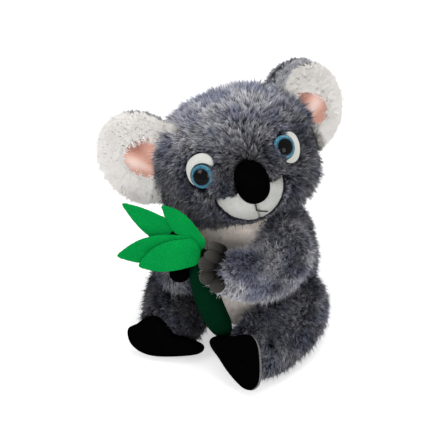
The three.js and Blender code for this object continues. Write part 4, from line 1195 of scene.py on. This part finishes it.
rng = np.random.default_rng(23)
for name in SIDES:
    middle, axes = ear_frame(name)
    for part, (count, share) in EAR_TUFTS.items():
        surface = ear_at(name, part)
        row, turn = scatter(lambda row, turn: surface(row * share, turn), count, rng)
        row = row * share
        points, normals, _ = frame_on(surface, row, turn, -PILE_DEPTHS["ear"])
        spot = (to_head(points) - middle) @ axes
        ahead = (normals @ turned @ axes)[:, 2] > 0
        normals = np.where((ahead == ((part == "front") | (row > 0.5)))[:, None], normals, -normals)
        keep = head_depth_at(points) > -1.0
        outward = np.stack([spot[:, 0], spot[:, 1] + 8, 0 * row], axis=-1) @ axes.T @ turned.T
        length = np.interp(ear_share(spot[:, 0], spot[:, 1]), [0.3, 0.8, 1.0], EAR_LENGTHS[name])
        if part == "back":
            dress(blades(f"ear_back_{name}_pile", keep, points, normals, outward, rng, length, tone=0.6,
                         lean=(22, 66)), f"ear_{name}", "grey_fur", lightened_ear_pile)
            continue
        to_lining = inside_lining(name, spot)
        keep &= to_lining > LINING_EDGE
        fringe = -outward + FRINGE_FALL * DOWN * SIDES[name]
        outward = np.where((to_lining < FRINGE_EDGE)[:, None], fringe, outward)
        curl = on_curl(name, spot)
        for pile, chosen, lift, uneven, finish, slot in (("white", keep & ~curl, 0.0, 0.1, white_pile, "white_fur"),
                                                         ("curl", keep & curl, 2.0, 0.19, lightened_ear_pile, "grey_fur")):
            if chosen.any():
                dress(blades(f"ear_{pile}_{name}_pile", chosen, points + normals * lift, normals, outward, rng, length,
                             width=0.9, tone_spread=uneven, lean=(46, 64), untidy=30.0, soft=True, stray=0.08),
                      f"ear_{name}", slot, finish)

# %% [markdown]
# The right ear's white cloth is drawn forward over the head at its upper end, where the ear is sewn on. This roll is a
# short tube from the ear's front to the head.

# %% White roll at the right ear
middle, axes = ear_frame("right")
roll_start = axes @ np.array([20.0, 26.0, 5.0]) + middle
roll_path = from_head(np.array([roll_start, [-52.0, 4.0, 47.0], [-46.5, -16.0, 47.5], [-42.5, -33.0, 45.5]]))
roll_half = np.array([10.5, 9.5, 8.0, 4.5])
roll_at = tube(roll_path, roll_half, roll_half * 0.8, (0.25, 0.3), [0, 0, 1])
roll = closed_piece("ear_roll_right_cloth", [inset(roll_at, PILE_DEPTHS["ear"])], 32, 40, under_white)
points, normals, along = tufts_on(roll_at, 1100, PILE_DEPTHS["ear"], rng)
roll_fur = blades("ear_roll_right_pile", head_depth_at(points) > -2, points, -normals, along, rng, 5.5, width=0.9,
                  tone_spread=0.1, lean=(30, 62), untidy=34.0, soft=True)
for piece in (roll, roll_fur):
    piece.data.materials.append(white_pile)
    tuple(seated(roll_path[-1]))
    tuple(seated(roll_path[0]))
    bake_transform(piece)

# %% [markdown]
# ## Arms and legs
# The sleeves and trousers are the limb tubes that were laid out above, pulled out of the torso where they would go
# into it. The sleeves' pile runs towards the wrist and falls a little with gravity, and the legs' pile runs towards
# the foot.


# %% Sleeves and trousers
def outside_torso(points):
    """Points that would lie inside the torso are moved out, level, to its cloth."""
    flat = points.reshape(-1, 3).copy()
    depth = torso_depth_at(flat)
    inside = (depth < 1) & (flat[:, 2] > -SEAT_DEPTH) & (flat[:, 2] < TORSO_HEIGHT * 0.97)
    scale = np.where(inside, 1 / np.maximum(depth, 0.35), 1)
    flat[:, 0] *= scale
    flat[:, 1] = (flat[:, 1] + SEAM_GAP) * scale - SEAM_GAP
    return flat.reshape(points.shape)


def limb_cloth(body):
    """A limb's tube just inside its CAD surface, kept out of the torso."""
    return lambda row, turn: outside_torso(limbs[body]["at"](row, turn, -PILE_DEPTHS[body]))


for body in limbs:
    kind, name = body.split("_")
    cloth_piece(f"{body}_cloth", [limb_cloth(body)], body, [f"{kind}_skin_{name}", f"{kind}_stuffing_{name}"],
                "grey_fur", grey_pile, charted=shaded_under_grey)

# %% Limb pile
rng = np.random.default_rng(31)
LIMB_TUFTS, LIMB_FALL, LIMB_LOWER_LIFT = {"arm": 5600, "leg": 8000}, {"arm": 0.7, "leg": 0.45}, {"arm": 0.2, "leg": 0.0}
IN_TORSO, IN_HEAD, IN_LIMB, LOWER_LIFT_FROM, LOWER_LIFT_FADE = 0.93, -4, -9, 8, 22
LIMB_TONES = {"arm_left": 0.57, "arm_right": 0.1, "leg_left": 0.37, "leg_right": 0.02}
for body, form in limbs.items():
    kind, name = body.split("_")
    other = limbs[f"{'leg' if kind == 'arm' else 'arm'}_{name}"]
    points, normals, along = tufts_on(form["at"], LIMB_TUFTS[kind], PILE_DEPTHS[body], rng)
    keep = (torso_depth_at(points) > IN_TORSO) & (head_depth_at(points) > IN_HEAD) & above_floor(points)
    keep &= near_limb(points, other) > IN_LIMB
    # Lower down, the arms' tufts are made lighter.
    low = share_of(form["line"][1, 2] + LOWER_LIFT_FROM - points[:, 2], LOWER_LIFT_FADE)
    dress(blades(f"{body}_pile", keep, points, normals, along + LIMB_FALL[kind] * DOWN, rng, 10.0,
                 tone=LIMB_TONES[body] + LIMB_LOWER_LIFT[kind] * low), body, "grey_fur", grey_pile)

# %% [markdown]
# ## Paws
# A paw is an egg for the palm and short tubes for the fingers, each from its knuckle over an arch to its tip. The tubes
# press into the palm and into each other, which leaves the creases that the sewn channels have. The left paw is
# grey-brown velour, painted darker towards the knuckles as shade in its hollow, and its fingers fan out round the
# branch, with its thumb above them. The right one is given black velvet as painted shade: it lies in deep shade behind
# the leaves, where most of it is hidden, and it also fills the dark behind the stem.

# %% Paws
PAW_SIZE = np.array([26.0, 22.0, 46.0])
left_paw = limbs["arm_left"]["end"][-1] + np.array([-0.42, -0.5, 0.17]) * PAW_SIZE
right_paw = limbs["arm_right"]["end"][-1] + np.array([-0.02, -0.27, 0.36]) * PAW_SIZE + np.array([-2.5, 2.0, 9.0])
FINGER, FINGER_HEIGHTS = 13.0, (-0.36, -0.12, 0.12, 0.36)
KNUCKLE, FINGERTIP, FINGER_ARCH = np.array([0.3, -0.16, 1.0]), np.array([-0.38, -0.1, 1.1]), 0.26
fan = [  # knuckle, tip, half width and forward bow, from the left paw's middle
    ([10, -2, 6.5], [-4.5, -5.5, 12.5], 5.4, 2.5), ([7, -3, 3.5], [-9.8, -5.5, 3.2], 7.0, 2.0),
    ([7, -3, -5.5], [-9.0, -5.5, -10.5], 7.0, 2.0), ([11, -2, -7], [3.5, -5, -21], 6.6, 2.0),
    ([13, 2, 15], [-3.5, -1, 18.5], 4.6, 1.5),
]


def palm_at(middle, halves):
    """An egg at the wrist's end."""
    return lambda row, turn: direction_at(row, turn) * egg_radius(direction_at(row, turn), halves)[..., None] + middle


def finger(knuckle, tip, bow, half, ends):
    """A tube from the knuckle to the fingertip, bowed forward."""
    return tube([knuckle, (knuckle + tip) / 2 + [0, -bow, 0], tip], half, half, ends, [0, 0, 1])


def right_finger(height):
    """One of four fingers side by side, which reach less far the further they are from the paw's middle."""
    size = PAW_SIZE * [-1, 1, height]
    tip = right_paw + FINGERTIP * size * [np.sqrt(1 - (2 * height) ** 2), 1, 1]
    half = np.array([0.86, 1.08, 0.94]) * FINGER / 2
    return finger(right_paw + KNUCKLE * size, tip, FINGER_ARCH * PAW_SIZE[1], half, (0.4, 0.4))


def left_finger(knuckle, tip, half, bow):
    """A lobe of the fan, fattest past its middle."""
    return finger(left_paw + knuckle, left_paw + tip, bow, np.array([0.75, 1.0, 0.95]) * half, (0.4, 0.45))


def knuckle_shade_chart(places):
    """The map's second number runs from the knuckle to the fingertip. The velour paints shade where it is low, in the
    hollow of the paw.
    """
    return chart(0.5, places[..., 0])


paws = {"left": [palm_at(left_paw + [3.0, 3.0, -1.0], [9.5, 7.0, 17.0]), *(left_finger(*lobe) for lobe in fan)],
        "right": [palm_at(right_paw, PAW_SIZE / 2 + [2, -0.6, -0.6]), *map(right_finger, FINGER_HEIGHTS)]}
# The right paw's black velvet is painted shade, for a paw in deep shade behind the leaves.
for name, finish, slot in (("left", taupe_velour, "taupe_velour"), ("right", black_velvet, "black_velvet")):
    cloth_piece(f"paw_{name}_cloth", paws[name], f"arm_{name}", [f"paw_{name}"], slot, finish, rows=32,
                columns=40, charted=knuckle_shade_chart)

# %% [markdown]
# ## Feet
# The feet are flat black velvet pads with a big toe. Their outline was drawn as a closed curve, and the pad swells
# between two such outlines, as a flat cushion does. Beside the left foot a pale line shows. It is a painted highlight
# along the velvet sole's seam, made as a slimmer grey pad shifted a little from the sole.

# %% Feet
SOLE_LENGTH, SOLE_THICKNESS, EDGE_SLIMMER = 70.0, 15.0, -2.0
EDGE_SHIFT = np.array([1.0, 1.6, -0.8])
sole_places = {"left": np.array([-0.043, -0.086, -0.071]), "right": np.array([0.05, -0.1, -0.02])}
sole_outlines = {
    "left": [[-0.42, 0.2], [-0.31, 0.29], [-0.05, 0.35], [0.14, 0.42], [0.27, 0.41], [0.35, 0.3], [0.38, 0.12],
             [0.38, -0.08], [0.34, -0.2], [0.23, -0.28], [0.09, -0.23], [-0.1, -0.1], [-0.28, 0.07]],
    "right": [[-0.47, 0.1], [-0.35, 0.18], [-0.22, 0.28], [-0.09, 0.285], [0.02, 0.2], [0.14, 0.06], [0.33, 0.01],
              [0.51, -0.06], [0.46, -0.165], [0.2, -0.22], [-0.12, -0.24], [-0.32, -0.19], [-0.45, -0.07]],
}


def foot_at(name):
    """Outline * sin(pi * row), with height sqrt(1 - share^4) * half the thickness on either face."""
    calf, ankle = limbs[f"leg_{name}"]["end"]
    axes = facing(unit_vectors((ankle - calf) * [1, 1, 1e-6]), [0, 0, 1])
    place = ankle + sole_places[name] * SOLE_LENGTH

    def at(row, turn, grow=0.0):
        share = over_rim(row)
        edge = closed_curve(sole_outlines[name], turn / (2 * np.pi)) * SOLE_LENGTH
        height = np.sqrt(np.maximum(1 - share**4, 0)) * (SOLE_THICKNESS / 2 + grow) * np.where(row < 0.5, 1, -1)
        return np.concatenate([edge * share[..., None], height[..., None]], axis=-1) @ axes.T + place

    return at


for name in SIDES:
    cloth_piece(f"foot_{name}_velvet", [foot_at(name)], f"leg_{name}", [f"foot_{name}"], "black_velvet", black_velvet,
                columns=120)
# A slimmer grey pad beside the left sole, as a painted highlight along its seam.
cloth_piece("foot_left_seam_highlight", [lambda row, turn: foot_at("left")(row, turn, EDGE_SLIMMER) + EDGE_SHIFT], "leg_left", [],
            "grey_fur", seam_highlight_grey, rows=32, columns=96)

# %% [markdown]
# ## Branch
# The stem is a stuffed tube of dark green felt, and four leaves are cut from brighter felt and sewn on its top. Each
# leaf is a thin tube with a pointed width, and its stitched veins are narrow grooves pressed into both faces.

# %% Stem
STEM_LENGTH, STEM_DIAMETER = 84.0, 23.0
grip = left_paw + [-PAW_SIZE[0] / 2, PAW_SIZE[1] / 2, 0]
stem_path = grip + STEM_LENGTH * np.array([[-0.02, 0.02, 0.12], [-0.03, 0, -0.12], [0.03, 0.01, -0.34],
                                           [0.11, 0.04, -0.57], [0.225, 0.14, -0.86]])
stem_half = np.array([0.52, 0.8, 0.98, 0.97, 0.8]) * STEM_DIAMETER / 2
stem_at = tube(stem_path, stem_half, stem_half, (0.03, 0.16), [0, -1, 0])
cloth_piece("stem_felt", [stem_at], "branch", ["stem_cover", "stem_stuffing"], "stem_felt", stem_felt)

# %% Leaves
LEAF_LENGTH, LEAF_STEP, VEIN_WIDE, VEIN_DEEP = 76.0, 1.6, 0.07, 0.35
leaves = [  # tip as shares of the length, width and bow
    ([-0.92, -0.11, 0.475], 24.0, -2.6), ([-0.417, -0.13, 0.51], 19.0, 3.2),
    ([-0.94, -0.19, -0.11], 26.0, 3.4), ([-0.65, -0.23, -0.18], 25.5, 1.9),
]
leaf_half = np.array([0.86, 1, 1, 0.74, 0.13])


def leaf_at(index):
    """A thin tube whose width follows the leaf's outline, with grooves for the midrib and the side veins."""
    towards, width, bow = leaves[index]
    front = stem_half[0] + SEAM_GAP + FELT / 2
    root = stem_path[0] + [2 * LEAF_STEP, -LEAF_STEP * index - front, LEAF_STEP]
    tip = root + np.array(towards) * LEAF_LENGTH
    path = [root, (root + tip) / 2 + [0, -LEAF_STEP, bow], tip]
    body = tube(path, leaf_half * width / 2, np.full(5, FELT / 2), (0.12, 0.05), [0, -1, 0])

    def at(row, turn):
        share, across = (1 - np.cos(np.pi * row)) / 2, np.cos(turn)
        veins = np.abs((share * 6 - 1.1 * np.abs(across)) % 1 - 0.5)
        groove = np.exp(-((across / VEIN_WIDE) ** 2)) + 0.6 * np.exp(-((veins / VEIN_WIDE) ** 2)) * (share > 0.12)
        return body(row, turn, -VEIN_DEEP * np.minimum(groove, 1))

    return at


def leaf_finish():
    """Bright green felt with short matted fibres, in slow patches of a duller green."""
    material, tree, shader = new_finish("leaf felt", 0.9, specular=0.03)
    fibres = noise(tree, 900.0, 5.0, 0.75)
    green = ramp(tree, fibres, (0.3, colour(0, 116, 48)), (0.7, colour(8, 158, 72)))
    patchy = mixed(tree, fade(tree, noise(tree, 60.0), 0.3, 0.7, 0.5), green, colour(2, 120, 56))
    feed(tree, shader, {"Base Color": patchy})
    bumped(tree, shader, fibres, 0.7, 0.0004)
    return material


leaf_felt = leaf_finish()
for index, (towards, width, bow) in enumerate(leaves):
    leaf = closed_piece(f"leaf_{index + 1}_felt", [leaf_at(index)], 140, 64)
    dress(leaf, "branch", "leaf_felt", leaf_felt, f"leaf_{index + 1}")
    declare_sheet(leaf, (width * unit, np.linalg.norm(towards) * LEAF_LENGTH * unit), cut_area(leaf))

# %% [markdown]
# ## Inside
# The washers that lock the eyes are hard plastic and stay as the CAD model has them.

# %% Washers
for name in SIDES:
    washer = frame["nodes"][f"eye_washer_{name}"]
    washer.data.materials.clear()
    washer.data.materials.append(washer_plastic)
    print(washer.name, "is in", washer_plastic.name)

# %% [markdown]
# ## Floor, light and camera
# A toy is photographed on white paper under large soft lamps. The paper here is a pale floor that the camera sees a
# little lighter than it is, so it meets the white background and still keeps the koala's shadow.

# %% Floor and background
floor_mesh = bpy.data.meshes.new("floor")
floor_mesh.from_pydata([(-4, -4, 0), (4, -4, 0), (4, 4, 0), (-4, 4, 0)], [], [(0, 1, 2, 3)])
floor = in_scene("floor", floor_mesh)
floor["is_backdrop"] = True


def calculated(tree, operation, first, second):
    """One step of arithmetic on two values."""
    return new_node(tree, "Math", {0: first, 1: second}, operation=operation).outputs[0]


def white_rays(tree):
    """1 for the rays of the camera, of gloss and of transmission, which see white, and 0 for those of light."""
    rays = new_node(tree, "LightPath", {}).outputs
    seen = calculated(tree, "MAXIMUM", rays["Is Camera Ray"], rays["Is Glossy Ray"])
    return calculated(tree, "MAXIMUM", seen, rays["Is Transmission Ray"])


PAPER_GREY, PAPER_GLOW, ROOM_LIGHT, ROOM_TINT = 0.8, 0.5, 0.42, (0.97, 0.98, 1.0, 1.0)
paper, tree, shader = new_finish("paper", 0.9, specular=0.0)
feed(tree, shader, {"Base Color": grey(PAPER_GREY), "Emission Color": grey(1),
                    "Emission Strength": calculated(tree, "MULTIPLY", white_rays(tree), PAPER_GLOW)})
floor_mesh.materials.append(paper)
world = bpy.data.worlds.new("studio")
bpy.context.scene.world = world
world.use_nodes = True
tree = world.node_tree
tree.nodes.clear()
lit, shown = (new_node(tree, "Background", {"Color": tint, "Strength": strength}).outputs[0]
              for tint, strength in ((ROOM_TINT, ROOM_LIGHT), (grey(1), 1.0)))
blend = new_node(tree, "MixShader", {0: white_rays(tree), 1: lit, 2: shown}).outputs[0]
new_node(tree, "OutputWorld", {"Surface": blend})
print("floor and white background are in place")


# %% Lamps
def soft_lamp(name, place, aim_height, size, power):
    """A square lamp of a given size that points from its place to a height over the origin."""
    light = bpy.data.lights.new(name, "AREA")
    light.size = size
    light.energy = power
    lamp = in_scene(name, light)
    lamp.location = place
    lamp.rotation_euler = (Vector((0, 0, aim_height)) - Vector(place)).to_track_quat("-Z", "Y").to_euler()
    print("lamp", name, power, "W")


soft_lamp("window", (-0.66, -1.3, 0.85), 0.15, 0.5, 7.5)
soft_lamp("window_right", (1.39, -0.64, 0.55), 0.15, 0.45, 4.2)
soft_lamp("top", (0.0, -0.25, 1.55), 0.12, 0.8, 6.0)
soft_lamp("front", (0.72, -1.5, 0.6), 0.1, 0.6, 8.0)
soft_lamp("back", (0.4, 1.2, 1.1), 0.14, 0.8, 9.0)

# %% [markdown]
# The camera stands 1.3 m away, a little to the koala's left and well above it, and looks down by 29 degrees.

# %% Camera
AZIMUTH, ELEVATION, DISTANCE = np.radians(20), np.radians(29), 1300
AIM = Vector((-17.219, 7.12, 87.906)) * unit
SENSOR, FOCAL_PIXELS, FRAME_PIXELS = 36, 1417, 448
back = Vector((np.sin(AZIMUTH) * np.cos(ELEVATION), -np.cos(AZIMUTH) * np.cos(ELEVATION), np.sin(ELEVATION)))
camera_data = bpy.data.cameras.new("camera")
camera_data.sensor_width = SENSOR
camera_data.lens = SENSOR * FOCAL_PIXELS / FRAME_PIXELS
camera = in_scene("camera", camera_data)
camera.location = AIM + back * DISTANCE * unit
camera.rotation_euler = (-back).to_track_quat("-Z", "Y").to_euler()
bpy.context.scene.camera = camera
bpy.context.scene.view_settings.view_transform = "Standard"

# %% Sizes
low, high = (list(corner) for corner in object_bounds())
print("visual box in metres:", low, high)
